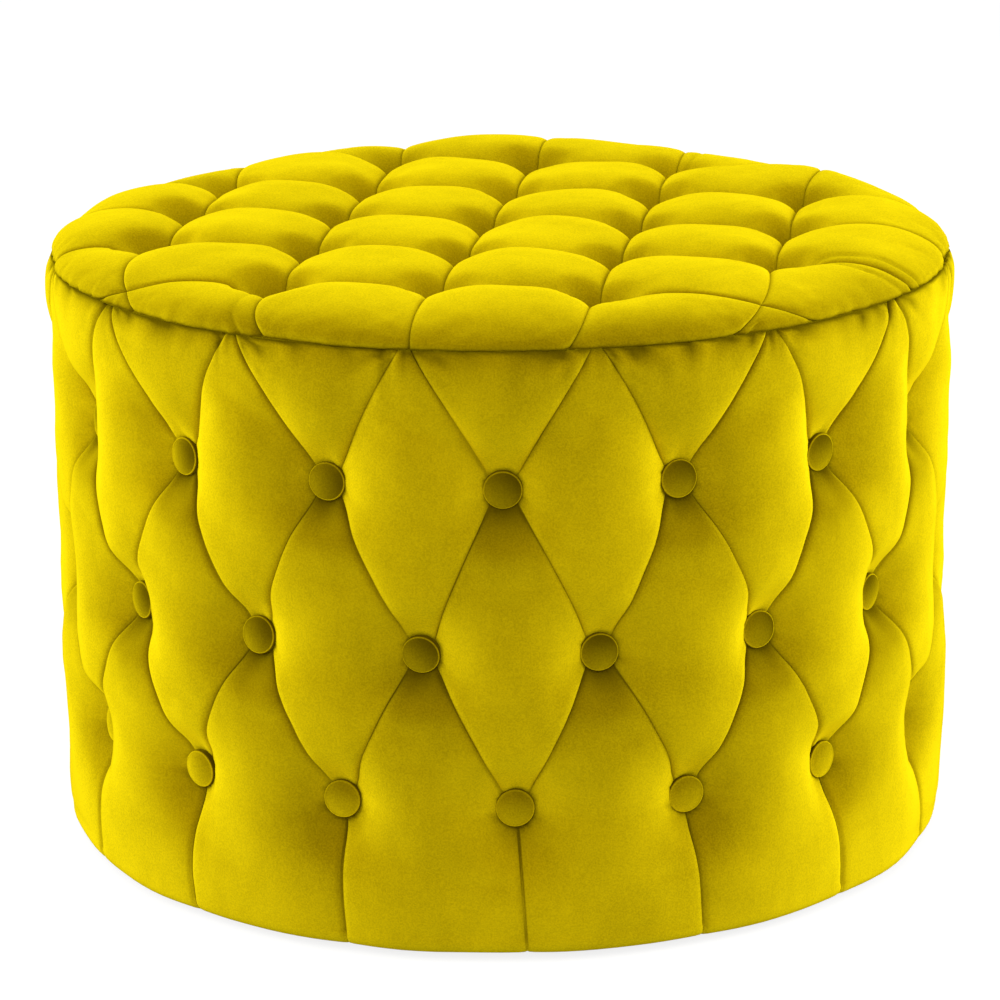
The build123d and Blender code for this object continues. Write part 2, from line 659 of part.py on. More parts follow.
for row in SIDE_ROWS:
    save(f"{row.name}_row_buttons", copies(button_cap(), side_planes(SIDE_BUTTON_PLANE, [row])))
save("side_button_backs", copies(button_back(), side_planes(SIDE_BUTTON_PLANE)))
save("side_twines", copies(twine(SIDE_TWINE_LENGTH), side_planes(SIDE_BUTTON_PLANE)))
save("side_washers", copies(washer(), side_planes(WASHER_SEAT)))
save("top_buttons", copies(button_cap(), top_planes(TOP_BUTTON_PLANE)))
save("top_button_backs", copies(button_back(), top_planes(TOP_BUTTON_PLANE)))
save("top_twines", copies(twine(TOP_TWINE_LENGTH), top_planes(TOP_BUTTON_PLANE)))
save("top_washers", copies(washer(), top_planes(POST_TOP)))

save("dust_cover", dust_cover())
save("dust_cover_staples", DUST_COVER_STAPLES)
for number, plane in enumerate(GLIDE_PLANES, start=1):
    save(f"glide_{number}", plane * glide())
save("glide_nails", GLIDE_NAILS)
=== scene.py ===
"""Looks of a round, deep-buttoned velvet ottoman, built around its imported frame. Metres, +Z up, front -Y."""
import json
import logging
import math
from dataclasses import dataclass, field
from enum import Enum
from typing import Any, Iterable, Sequence

import bmesh
import bpy
import numpy as np
from mathutils import Matrix, Vector


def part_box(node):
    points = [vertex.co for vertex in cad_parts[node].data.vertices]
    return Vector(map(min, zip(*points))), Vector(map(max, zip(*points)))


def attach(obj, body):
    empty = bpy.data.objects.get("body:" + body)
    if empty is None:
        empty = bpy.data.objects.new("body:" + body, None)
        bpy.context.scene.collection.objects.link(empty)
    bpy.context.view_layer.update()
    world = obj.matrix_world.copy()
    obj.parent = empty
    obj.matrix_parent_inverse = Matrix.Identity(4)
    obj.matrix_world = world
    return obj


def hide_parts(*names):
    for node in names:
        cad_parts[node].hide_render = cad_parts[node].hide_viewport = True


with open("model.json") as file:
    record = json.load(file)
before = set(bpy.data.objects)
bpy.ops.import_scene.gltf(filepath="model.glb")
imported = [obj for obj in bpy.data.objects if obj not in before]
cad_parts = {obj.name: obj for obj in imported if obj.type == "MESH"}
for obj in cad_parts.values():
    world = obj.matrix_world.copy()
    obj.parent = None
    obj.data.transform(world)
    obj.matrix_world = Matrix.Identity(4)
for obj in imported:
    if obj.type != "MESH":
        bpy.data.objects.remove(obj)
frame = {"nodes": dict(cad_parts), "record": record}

LOG = logging.getLogger("ottoman")
ROOT = "root"
MM = 0.001
BUTTON_FLAT = 14 * MM
# Darkest that any painted shade may get.
DARKEST = 0.86


def box_middle(node: str, axis: int) -> float:
    """Middle of a node's box along an axis."""
    low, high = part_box(node)
    return (low[axis] + high[axis]) / 2


def box_reach(node: str) -> float:
    """Half of a node's width along X."""
    low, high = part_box(node)
    return (high[0] - low[0]) / 2


def smooth(value: Any) -> Any:
    """Smooth step of a value, or an array, that is held between 0 and 1."""
    share = np.clip(value, 0.0, 1.0)
    return share * share * (3 - 2 * share)


def gathered(clock: np.ndarray, broad: np.ndarray, fine: np.ndarray) -> np.ndarray:
    """Heights of the small ripples around a button, by the clock angle and the phases of broad and fine ones."""
    return np.sin(7 * clock + broad) + 0.7 * np.sin(11 * clock + fine)


def pressed(away: np.ndarray) -> np.ndarray:
    """Shares to which a button presses the velvet flat, by the distance from its middle."""
    return np.exp(-(away / BUTTON_FLAT) ** 6)


def eased(start: float, end: float, share: np.ndarray, power: float) -> np.ndarray:
    """Values that go smoothly from start to end as the share goes from 0 to 1, and back by 2, bent by a power."""
    return end + (start - end) * ((1 + np.cos(math.pi * share)) / 2) ** power


class Waves:
    """Soft irregularity: a sum of waves with fixed random directions and phases."""

    def __init__(self, seed: int, count: int, shortest: float, longest: float) -> None:
        """Draws the waves.

        Args:
            seed: Seed of the random draws.
            count: Number of waves.
            shortest: Shortest wavelength in metres.
            longest: Longest wavelength in metres.
        """
        draw = np.random.default_rng(seed)
        turn = draw.uniform(0, 2 * math.pi, count)
        wave = 2 * math.pi / draw.uniform(shortest, longest, count)
        self.across = wave * np.cos(turn)
        self.along = wave * np.sin(turn)
        self.phase = draw.uniform(0, 2 * math.pi, count)
        self.scale = 1 / math.sqrt(count / 2)

    def at(self, x: np.ndarray, y: np.ndarray) -> np.ndarray:
        """Height of the waves at places.

        Args:
            x: Flat coordinates in metres.
            y: The same, across.

        Returns:
            Heights, about -2 to 2.
        """
        total = np.zeros(np.broadcast(x, y).shape)
        for across, along, phase in zip(self.across, self.along, self.phase):
            total += np.sin(across * x + along * y + phase)
        return total * self.scale


# Nodes

class Value:
    """An output socket that can be used in Python expressions."""

    def __init__(self, nodes: "Nodes", socket: bpy.types.NodeSocket) -> None:
        """Wraps one output socket of a tree."""
        self.nodes = nodes
        self.socket = socket

    def _math(self, operation: str, *values: Any) -> "Value":
        """Adds a Math node for an operation on values."""
        return self.nodes.node("ShaderNodeMath", {"operation": operation}, dict(enumerate(values)))

    def __add__(self, other: Any) -> "Value":
        """Sum."""
        return self._math("ADD", self, other)

    __radd__ = __add__

    def __sub__(self, other: Any) -> "Value":
        """Difference."""
        return self._math("SUBTRACT", self, other)

    def __rsub__(self, other: Any) -> "Value":
        """Difference from a number."""
        return self._math("SUBTRACT", other, self)

    def __mul__(self, other: Any) -> "Value":
        """Product."""
        return self._math("MULTIPLY", self, other)

    __rmul__ = __mul__

    def __truediv__(self, other: Any) -> "Value":
        """Quotient."""
        return self._math("DIVIDE", self, other)

    def larger(self, other: Any) -> "Value":
        """The larger of two values."""
        return self._math("MAXIMUM", self, other)

    def limited(self) -> "Value":
        """The value held between 0 and 1."""
        return self.nodes.node("ShaderNodeClamp", {}, {"Value": self})

    def band(self, low: float, high: float) -> "Value":
        """The value's share of the way from low to high, held between 0 and 1."""
        return ((self - low) / (high - low)).limited()


class Nodes:
    """The nodes of one tree."""

    def __init__(self, tree: bpy.types.NodeTree) -> None:
        """Takes the tree."""
        self.tree = tree

    def node(self, kind: str, settings: dict[str, Any], sockets: dict[Any, Any], output: Any = 0) -> Value:
        """Adds a node.

        Args:
            kind: Type of the node.
            settings: Its attributes, which are set first.
            sockets: Values or links of its input sockets, by name or index.
            output: Name or index of the output that is returned.

        Returns:
            The output as a Value.
        """
        node = self.tree.nodes.new(kind)
        for name, setting in settings.items():
            setattr(node, name, setting)
        for key, value in sockets.items():
            self.join(value, node.inputs[key])
        return Value(self, node.outputs[output])

    def join(self, value: Any, socket: bpy.types.NodeSocket) -> None:
        """Feeds an input socket.

        Args:
            value: A Value, which is linked, or a constant; a colour needs no alpha.
            socket: The input socket.
        """
        if isinstance(value, Value):
            self.tree.links.new(value.socket, socket)
        elif socket.type == "RGBA":
            socket.default_value = (*value, 1.0)
        else:
            socket.default_value = value


class Shade(Nodes):
    """The nodes of one material."""

    def __init__(self, name: str) -> None:
        """Starts a material with a Principled shader.

        Args:
            name: Name of the material.
        """
        self.material = bpy.data.materials.new(name)
        self.material.use_nodes = True
        super().__init__(self.material.node_tree)
        self.shader = self.tree.nodes["Principled BSDF"]

    def feed(self, **sockets: Any) -> None:
        """Sets or links the shader's own sockets, with _ for a space in their names."""
        for name, value in sockets.items():
            self.join(value, self.shader.inputs[name.replace("_", " ")])

    def cover(self, share: Value, **sockets: Any) -> None:
        """Mixes a second shader over the first, for a painted sheen.

        Args:
            share: How much of it shows.
            **sockets: Constants of its own sockets.
        """
        spaced = {name.replace("_", " "): value for name, value in sockets.items()}
        over = self.node("ShaderNodeBsdfPrincipled", {}, spaced)
        first = Value(self, self.shader.outputs[0])
        both = self.node("ShaderNodeMixShader", {}, {0: share, 1: first, 2: over})
        self.join(both, self.tree.nodes["Material Output"].inputs["Surface"])

    def place(self, stretch: Sequence[float] = (1, 1, 1)) -> Value:
        """Object coordinates, stretched."""
        at = self.node("ShaderNodeTexCoord", {}, {}, "Object")
        return self.node("ShaderNodeMapping", {}, {"Vector": at, "Scale": stretch})

    def noise(self, at: Value, scale: float, detail: float = 2.0, rough: float = 0.5) -> Value:
        """Noise from 0 to 1 at a place."""
        return self.node("ShaderNodeTexNoise", {}, {
            "Vector": at, "Scale": scale, "Detail": detail, "Roughness": rough})

    def mix(self, share: Any, first: Any, second: Any) -> Value:
        """Mix of two colours."""
        sockets = {0: share, 6: first, 7: second}
        return self.node("ShaderNodeMix", {"data_type": "RGBA"}, sockets, 2)

    def attribute(self, name: str) -> Value:
        """A piece's own named number."""
        return self.node("ShaderNodeAttribute", {"attribute_name": name}, {}, "Fac")

    def bump(self, height: Value, distance: float, strength: float) -> None:
        """Feeds a bump to the shader's normal."""
        self.feed(Normal=self.node("ShaderNodeBump", {}, {
            "Height": height, "Distance": distance, "Strength": strength}))


Color = tuple[float, float, float]


@dataclass(frozen=True)
class Velvet:
    """Short-pile velvet: deep where it faces the eye, with a painted sheen where it turns away, brushed patches, and
    painted shade from each piece's own attribute.
    """

    name: str = "velvet"
    deep: Color = (0.247, 0.167, 0.0003)
    bright: Color = (0.455, 0.310, 0.0005)
    # Colour of the painted shade in folds, at seams and around the buttons.
    fold: Color = (0.06, 0.039, 0.0001)
    # Colour, strength and bend of the painted sheen, and the lean of the pile that steers it.
    painted_sheen: Color = (1.0, 0.785, 0.004)
    turned: float = 0.95
    turned_bend: float = 0.55
    lay: float = 0.55
    sheen: float = 0.25
    sheen_color: Color = (1.0, 0.82, 0.0)
    sheen_roughness: float = 0.45
    roughness: float = 0.92
    painted_sheen_roughness: float = 0.95
    patch_size: float = 0.085
    patch_part: float = 0.35
    streak_stretch: tuple[float, float, float] = (7, 7, 3)
    streak_part: float = 0.15
    pile_size: float = 0.0011
    pile_part: float = 0.5
    pile_height: float = 0.0008

    def material(self) -> bpy.types.Material:
        """Builds the material.

        Returns:
            The material, which reads each piece's attribute of painted shade.
        """
        shade = Shade(self.name)
        at = shade.place()
        patches = shade.noise(at, 1 / self.patch_size, 3.0, 0.55)
        streaks = shade.noise(shade.place(self.streak_stretch), 1 / self.patch_size, 2.0, 0.5)
        pile = shade.noise(at, 1 / self.pile_size, 2.0, 0.6)
        nap = patches.band(0.32, 0.68) * self.patch_part + streaks.band(0.3, 0.7) * self.streak_part
        nap = nap + pile.band(0.35, 0.65) * self.pile_part
        cloth = shade.mix(nap, self.deep, self.bright)
        # Painted shade: the cloth darkens towards the shade colour by each piece's attribute of painted shade.
        painted_shade_share = shade.attribute("fold")
        shade.feed(Base_Color=shade.mix(painted_shade_share, cloth, self.fold), Roughness=self.roughness - nap * 0.1)
        shade.feed(Sheen_Weight=self.sheen, Sheen_Tint=self.sheen_color, Sheen_Roughness=self.sheen_roughness)
        shade.feed(Specular_IOR_Level=0.0)
        shade.bump(pile + streaks * 0.6, self.pile_height, 0.5)
        # Painted sheen: a bright layer mixed in by how far the pile turns away from the eye, less where painted shade
        # is.
        away = self.turned_away(shade)
        bent = away * (self.turned_bend + away * self.turned_bend)
        share = bent * (self.turned - painted_shade_share * self.turned) * (0.68 + nap * 0.64)
        shade.cover(share.limited(), Base_Color=self.painted_sheen, Roughness=self.painted_sheen_roughness, Specular_IOR_Level=0.0)
        return shade.material

    def turned_away(self, shade: Shade) -> Value:
        """How far the pile, which lies downwards on upright velvet, turns away from the eye; this is the mask of the
        painted sheen.

        Args:
            shade: The nodes of the material.

        Returns:
            0 where it points at the eye, 1 where it points sideways.
        """
        upright = shade.node("ShaderNodeNewGeometry", {}, {}, "Normal")
        level = 1 - shade.node("ShaderNodeSeparateXYZ", {}, {0: upright}, "Z").limited()
        down = shade.node("ShaderNodeCombineXYZ", {}, {"Z": level * -self.lay})
        leaning = shade.node("ShaderNodeVectorMath", {"operation": "ADD"}, {0: upright, 1: down})
        pointing = shade.node("ShaderNodeVectorMath", {"operation": "NORMALIZE"}, {0: leaning})
        return shade.node("ShaderNodeLayerWeight", {}, {"Blend": 0.5, "Normal": pointing}, "Facing")


@dataclass(frozen=True)
class Timber:
    """Bare wood with rings and fine grain along one axis."""

    name: str
    light: Color
    dark: Color
    stretch: tuple[float, float, float]
    waver: float = 6.0
    rings: float = 60.0
    grain: float = 240.0
    grain_height: float = 0.0004
    roughness: float = 0.7

    def material(self) -> bpy.types.Material:
        """Builds the material.

        Returns:
            The material.
        """
        shade = Shade(self.name)
        at = shade.place(self.stretch)
        waver = shade.noise(at, self.waver, 3.0)
        rings = shade.node("ShaderNodeTexWave", {"wave_type": "BANDS", "bands_direction": "DIAGONAL"}, {
            "Vector": at, "Scale": self.rings, "Distortion": 6.0, "Detail": 3.0, "Detail Scale": 1.5}, "Fac")
        grain = shade.noise(at, self.grain, 3.0, 0.7)
        tone = (rings * 0.45 + waver * 0.3 + grain * 0.3).limited()
        shade.feed(Base_Color=shade.mix(tone, self.light, self.dark), Roughness=self.roughness + grain * 0.15)
        shade.bump(grain + rings * 0.4, self.grain_height, 0.4)
        return shade.material


@dataclass(frozen=True)
class Mottled:
    """Foam, wadding, cloth, twine or plastic: two tones in a fine mottle with a matching bump."""

    name: str
    light: Color
    dark: Color
    size: float
    relief: float
    roughness: float = 0.9
    broad: float = 0.06
    specular: float = 0.3

    def material(self) -> bpy.types.Material:
        """Builds the material.

        Returns:
            The material.
        """
        shade = Shade(self.name)
        at = shade.place()
        fine = shade.noise(at, 1 / self.size, 3.0, 0.65)
        broad = shade.noise(at, self.broad / self.size, 2.0)
        tone = (fine * 0.7 + broad * 0.4 - 0.05).limited()
        shade.feed(Base_Color=shade.mix(tone, self.dark, self.light), Roughness=self.roughness - fine * 0.08)
        shade.feed(Specular_IOR_Level=self.specular)
        shade.bump(fine, self.relief, 0.6)
        return shade.material


@dataclass(frozen=True)
class Steel:
    """Plated or pressed steel with fine scratches and dull spots."""

    name: str
    color: Color = (0.62, 0.62, 0.60)
    dull: Color = (0.40, 0.39, 0.37)
    spots: float = 260.0
    scratches: float = 420.0
    scratch_stretch: tuple[float, float, float] = (1, 1, 14)
    scratch_depth: float = 0.0001
    roughness: float = 0.28

    def material(self) -> bpy.types.Material:
        """Builds the material.

        Returns:
            The material.
        """
        shade = Shade(self.name)
        spots = shade.noise(shade.place(), self.spots, 4.0, 0.6)
        scratches = shade.noise(shade.place(self.scratch_stretch), self.scratches, 2.0)
        shade.feed(Base_Color=shade.mix(spots.band(0.35, 0.75), self.color, self.dull), Metallic=1.0)
        shade.feed(Roughness=self.roughness + spots * 0.22)
        shade.bump(scratches, self.scratch_depth, 0.3)
        return shade.material


class Slot(Enum):
    """Material slots of the frame that are dressed."""

    PLYWOOD = "plywood"
    TIMBER = "timber"
    HARDBOARD = "hardboard"
    FOAM = "foam"
    WADDING = "wadding"
    BUTTON_STEEL = "button_steel"
    TWINE = "twine"
    WASHER = "washer_plastic"
    FASTENER = "fastener_steel"
    DUST_CLOTH = "dust_cloth"
    NYLON = "nylon"
    VELVET = "velvet"


FINISHES = {
    Slot.VELVET: Velvet(),
    Slot.PLYWOOD: Timber("plywood", (0.66, 0.48, 0.29), (0.42, 0.27, 0.13), (1, 0.12, 3)),
    Slot.TIMBER: Timber("timber", (0.72, 0.52, 0.31), (0.50, 0.31, 0.15), (1, 1, 0.06)),
    Slot.HARDBOARD: Mottled("hardboard", (0.30, 0.18, 0.09), (0.17, 0.095, 0.045), 0.0016, 0.0002),
    Slot.FOAM: Mottled("foam", (0.86, 0.80, 0.56), (0.66, 0.58, 0.36), 0.0022, 0.0009),
    Slot.WADDING: Mottled("wadding", (0.93, 0.93, 0.91), (0.78, 0.78, 0.76), 0.004, 0.0012),
    Slot.BUTTON_STEEL: Steel("button_steel"),
    Slot.TWINE: Mottled("twine", (0.80, 0.74, 0.62), (0.58, 0.51, 0.40), 0.0009, 0.0003),
    Slot.WASHER: Mottled("washer_plastic", (0.86, 0.86, 0.84), (0.74, 0.74, 0.72), 0.003, 0.00005, 0.45),
    Slot.FASTENER: Steel("fastener_steel", (0.60, 0.58, 0.52), (0.42, 0.40, 0.34)),
    Slot.DUST_CLOTH: Mottled("dust_cloth", (0.022, 0.022, 0.023), (0.008, 0.008, 0.009), 0.0011, 0.0002),
    Slot.NYLON: Mottled("nylon", (0.035, 0.033, 0.031), (0.02, 0.019, 0.018), 0.0025, 0.00008, 0.5),
}


class Finishes:
    """The materials of all slots, each made once."""

    def __init__(self) -> None:
        """Builds the materials."""
        self.made = {slot: finish.material() for slot, finish in FINISHES.items()}

    def of(self, slot: Slot) -> bpy.types.Material:
        """The material of a slot."""
        return self.made[slot]

    def dress_nodes(self) -> None:
        """Gives every node of the frame the material of its slot."""
        for part in frame["record"]["subparts"]:
            node = frame["nodes"][part["node"]]
            material = self.of(Slot(part["material_slot"]))
            node.data.materials.clear()
            node.data.materials.append(material)
            LOG.info("node %s: %s", part["node"], material.name)


# Meshes

def smooth_mesh(name: str, points: np.ndarray, faces: Iterable[Sequence[int]], fold: Any = None) -> bpy.types.Mesh:
    """Makes a smooth-shaded mesh.

    Args:
        name: Name of the mesh.
        points: Its points, n by 3, in metres.
        faces: Its faces as point numbers, outward by the right-hand rule.
        fold: Painted shade, 0 to 1, of each point, kept as a point attribute of the same name, or None.

    Returns:
        The mesh.
    """
    mesh = bpy.data.meshes.new(name)
    mesh.from_pydata(np.asarray(points).reshape(-1, 3).tolist(), [], [list(face) for face in faces])
    if fold is not None:
        # The attribute carries painted shade for the velvet.
        layer = mesh.attributes.new("fold", "FLOAT", "POINT")
        layer.data.foreach_set("value", np.ravel(fold).astype(np.float32))
    mesh.update()
    mesh.shade_smooth()
    return mesh


def piece_of(mesh: bpy.types.Mesh) -> bpy.types.Object:
    """Sets a mesh in the scene, at the origin.

    Args:
        mesh: The mesh.

    Returns:
        The piece, of the same name.
    """
    piece = bpy.data.objects.new(mesh.name, mesh)
    bpy.context.scene.collection.objects.link(piece)
    return piece


def ring_faces(rows: int, columns: int, closed: bool) -> list[tuple[int, int, int, int]]:
    """Quads of rows of points that run around the Z axis, counter-clockwise, from the top row down.

    Args:
        rows: Number of rows.
        columns: Number of points in a row.
        closed: Whether the last row joins the first.

    Returns:
        The quads as point numbers.
    """
    quads = []
    for row in range(rows if closed else rows - 1):
        here, below = row * columns, (row + 1) % rows * columns
        for column in range(columns):
            beside = (column + 1) % columns
            quads.append((here + column, below + column, below + beside, here + beside))
    return quads


def dress(piece: bpy.types.Object, finish: bpy.types.Material, slot: Slot, *nodes: str) -> bpy.types.Object:
    """Gives a new piece its material and body, and hides the nodes of the frame that it stands for.

    Args:
        piece: The piece.
        finish: Its material.
        slot: Its material slot; not used.
        *nodes: Nodes of the frame that it replaces, if any.

    Returns:
        The piece.
    """
    piece.data.materials.clear()
    piece.data.materials.append(finish)
    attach(piece, ROOT)
    if nodes:
        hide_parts(*nodes)
    LOG.info("piece %s: %d points, stands for %s", piece.name, len(piece.data.vertices), ", ".join(nodes) or "-")
    return piece


@dataclass(frozen=True)
class ButtonRow:
    """One row of side buttons."""

    node: str
    turn: float
    shift: float

    @property
    def height(self) -> float:
        """Height of the buttons' middles."""
        return box_middle(self.node, 2)


SIDE_ROWS = (
    ButtonRow("upper_row_buttons", math.radians(0.2), 0.0),
    ButtonRow("middle_row_buttons", math.radians(1.0), 0.5),
    ButtonRow("lower_row_buttons", math.radians(1.5), 0.0),
)
COLUMNS = 16
STEP = 2 * math.pi / COLUMNS


@dataclass
class Swelling:
    """Cloth simulation that lets a stuffed cover swell and crease between the lines that hold it."""

    pressure: float = 4.0
    slack: float = -0.003
    frames: int = 12
    quality: int = 4
    cap: float = 1.4 * MM

    def run(self, piece: bpy.types.Object, held: np.ndarray) -> np.ndarray:
        """Runs the simulation on a piece and takes it off again.

        Args:
            piece: The cover, open or closed.
            held: How firmly each point is held, 0 to 1.

        Returns:
            How far each point moves, n by 3, with a soft cap.
        """
        count = len(piece.data.vertices)
        group = piece.vertex_groups.new(name="held")
        levels = np.round(np.ravel(held), 1)
        for level in np.unique(levels):
            group.add(np.flatnonzero(levels == level).tolist(), float(level), "REPLACE")
        modifier = piece.modifiers.new("swelling", "CLOTH")
        settings = modifier.settings
        settings.quality = self.quality
        settings.vertex_group_mass = group.name
        settings.use_pressure = True
        settings.uniform_pressure_force = self.pressure
        settings.shrink_min = self.slack
        settings.effector_weights.gravity = 0
        modifier.collision_settings.use_collision = False
        modifier.point_cache.frame_end = self.frames
        scene = bpy.context.scene
        for tick in range(1, self.frames + 1):
            scene.frame_set(tick)
        ready = piece.evaluated_get(bpy.context.evaluated_depsgraph_get())
        start, end = np.empty(3 * count, np.float32), np.empty(3 * count, np.float32)
        piece.data.vertices.foreach_get("co", start)
        ready.data.vertices.foreach_get("co", end)
        piece.modifiers.remove(modifier)
        piece.vertex_groups.remove(group)
        scene.frame_set(1)
        moved = (end - start).reshape(-1, 3).astype(float)
        far = np.linalg.norm(moved, axis=1, keepdims=True)
        LOG.info("%s: swells by %.2f mm, at most %.2f mm", piece.name, far.mean() / MM, far.max() / MM)
        return moved * self.cap * np.tanh(far / self.cap) / np.maximum(far, 1e-9)


def refined(coarse: np.ndarray) -> np.ndarray:
    """Doubles a field's rows, and its columns, which run around, by a smooth spline.

    Args:
        coarse: The field, rows by columns by 3.

    Returns:
        The field with twice as many rows and columns.
    """
    fine = coarse
    for axis, around in ((1, True), (0, False)):
        before, after = np.roll(fine, 1, axis), np.roll(fine, -1, axis)
        if not around:
            before[0], after[-1] = fine[0], fine[-1]
        pair = np.stack([(before + 6 * fine + after) / 8, (fine + after) / 2], axis=axis + 1)
        shape = list(fine.shape)
        shape[axis] *= 2
        fine = pair.reshape(shape)
    return fine


@dataclass
class SideCover:
    """Velvet of the side: diamonds drawn in at the buttons, with folds from button to button."""

    fill: float = 0.85
    strip_points: int = 16
    row_pitch: float = 2.3 * MM
    recess: float = 23.2 * MM
    seat: float = 21.0 * MM
    row_sink: float = 0.6 * MM
    row_reach: float = 22 * MM
    calm_reach: float = 11 * MM
    calm_steps: int = 9
    held_rows: int = 3
    held_start: float = 0.75
    bowl_start: float = 12.5 * MM
    bowl_width: float = 30 * MM
    bowl_squeeze: float = 1.3
    bowl_power: float = 2.3
    middle_pleat: float = 5.0 * MM
    middle_power: float = 1.8
    seam_pleat: float = 1.5 * MM
    seam_power: float = 1.7
    bottom_pleat: float = 2.0 * MM
    bottom_power: float = 2.6
    full_width: float = 44 * MM
    pillow: float = 1.9
    fold_slant: float = 0.87
    wave: float = 0.55 * MM
    wrinkle: float = 0.12 * MM
    ripple: float = 0.18 * MM
    ripple_ring: float = 19 * MM
    ripple_reach: float = 9 * MM
    pucker: float = 0.7 * MM
    pucker_reach: float = 6 * MM
    tuck: float = 1.8 * MM
    tuck_change: float = 0.15
    tuck_width: float = 1.0 * MM
    lap: float = 0.7 * MM
    lap_width: float = 5.0 * MM
    seam_inset: float = 4.0 * MM
    seam_round: float = 18 * MM
    seam_roll: float = 4.2 * MM
    roll_power: float = 2.5
    seam_gap: float = 0.4 * MM
    proud: float = 1.5 * MM
    swell: float = 1.0 * MM
    taper: float = 3.6 * MM
    lean: float = 1.2 * MM
    belly: float = 1.2 * MM
    taper_height: float = 90 * MM
    taper_power: float = 1.5
    swell_height: float = 352 * MM
    swell_reach: float = 60 * MM
    hem: float = 4 * MM
    hem_steps: tuple[float, ...] = (0.0, 0.4, 0.75)
    bottom_round: float = 10 * MM
    bottom_steps: int = 12
    under_share: float = 0.3
    flange_radius: float = 222 * MM
    flange_steps: int = 11
    velvet: float = 1.5 * MM
    fold_half: float = 5.5 * MM
    seam_half: float = 3.0 * MM
    bottom_half: float = 0.25 * MM
    clear: float = 2.5 * MM
    bottom_turn: float = math.radians(2.6)
    sag: float = 0.29
    # Strengths and reaches of painted shadow and painted shade: a dark V below each button, a dark band around its
    # lower half, dark fold lines, a dark outline at each button, a dark seam line, a darker band below the seam and
    # dark hem rows.
    painted_shadow_below: float = 0.74
    painted_shadow_start: float = 6 * MM
    painted_shadow_reach: float = 38 * MM
    painted_ring_shadow: float = 0.4
    ring_reach: float = 10 * MM
    crease_shade: float = 0.5
    crease_line: float = 0.9 * MM
    seat_shade: float = 0.7
    seat_reach: float = 13.6 * MM
    seam_shade: float = 0.8
    painted_seam_band: float = 0.42
    seam_reach: float = 13 * MM
    hem_shade: float = 0.95
    crown: float = field(init=False)
    seam: float = field(init=False)
    bottom: float = field(init=False)
    inner: float = field(init=False)

    def __post_init__(self) -> None:
        """Takes the outer sizes from the frame."""
        low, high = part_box("side_cover")
        self.crown, self.seam, self.bottom = (high[0] - low[0]) / 2 + self.proud, high[2], low[2]
        self.inner = self.crown - self.recess - self.velvet

    def profile(self) -> np.ndarray:
        """Rows from the seam down and back up inside.

        Returns:
            For each row the radius, the height, the outward direction in r and z, and the share of the tufting.
        """
        rows = [(self.inner, self.seam - 2 * self.hem, 0, 1, 0), (self.inner, self.seam - self.velvet, 0, 1, 0)]
        edge = self.crown - self.seam_inset
        for share in self.hem_steps:
            rows.append((edge - self.hem * (1 - share), self.seam - self.velvet * (1 - share), 0.7, 0.7, share))
        start = self.bottom + self.bottom_round
        count = round((self.seam - start) / self.row_pitch)
        for z in np.linspace(self.seam - self.seam_gap, start, count):
            rise = max(0.0, (z - self.seam + self.seam_round) / self.seam_round)
            swell = self.swell * math.exp(-((z - self.swell_height) / self.swell_reach) ** 2)
            roll = self.seam_roll * rise ** self.roll_power
            rows.append((self.crown + swell - self.drawn_in(z) - roll, z, 1, 0, 1))
        for turn in np.linspace(0, math.pi / 2, self.bottom_steps + 1)[1:]:
            out, down = math.cos(turn), math.sin(turn)
            radius = self.crown - self.taper - self.bottom_round * (1 - out)
            share = 1 - (1 - self.under_share) * down
            rows.append((radius, start - (self.bottom_round + self.belly) * down, out, -down, share))
        edge = self.crown - self.taper - self.bottom_round
        for share in np.linspace(0, 1, self.flange_steps + 1)[1:]:
            radius = edge + share * (self.flange_radius - edge)
            z = self.bottom - self.belly * (1 - share) ** 3
            rows.append((radius, z, 0, -1, self.under_share * (1 - share)))
        rows.append((self.flange_radius, self.bottom + self.velvet, 0, 1, 0))
        rows.append((self.inner, self.bottom + self.velvet, 0, 1, 0))
        return np.array(rows)

    def drawn_in(self, z: float) -> float:
        """How far the side tapers in towards the bottom at a height."""
        above = (z - self.bottom - self.bottom_round) / self.taper_height
        return self.taper * max(0.0, 1 - above) ** self.taper_power

    def spread(self, z: np.ndarray) -> tuple[np.ndarray, np.ndarray]:
        """Half the distance between a column's two folds and the turn of its middle, at heights.

        Args:
            z: Heights.

        Returns:
            Shares of the step and angles.
        """
        wide = self.crown * STEP
        near, far = self.fold_half / wide, 0.5 - self.fold_half / wide
        first, second, third = [row.height for row in SIDE_ROWS]
        places = [self.bottom, third - 3 * self.clear, third - self.clear, third + self.clear, second - self.clear,
                  second + self.clear, first - self.clear, first + self.clear, self.seam]
        low = self.bottom_half / wide
        shares = [low, low * 1.6, near, near, far, far, near, near, 0.5 - self.seam_half / wide]
        turns = [self.bottom_turn, SIDE_ROWS[2].turn, SIDE_ROWS[1].turn, SIDE_ROWS[0].turn, 0.0]
        heights = np.array([self.bottom, third, second, first, self.seam])
        sagged = self.sagged(np.array(places))
        return np.interp(self.sagged(z), sagged, shares), np.interp(z, heights, turns)

    def sagged(self, z: np.ndarray) -> np.ndarray:
        """Heights by which the folds run straight: between two buttons the stuffing sags."""
        return z + self.sag * self.pleat_depth(z)

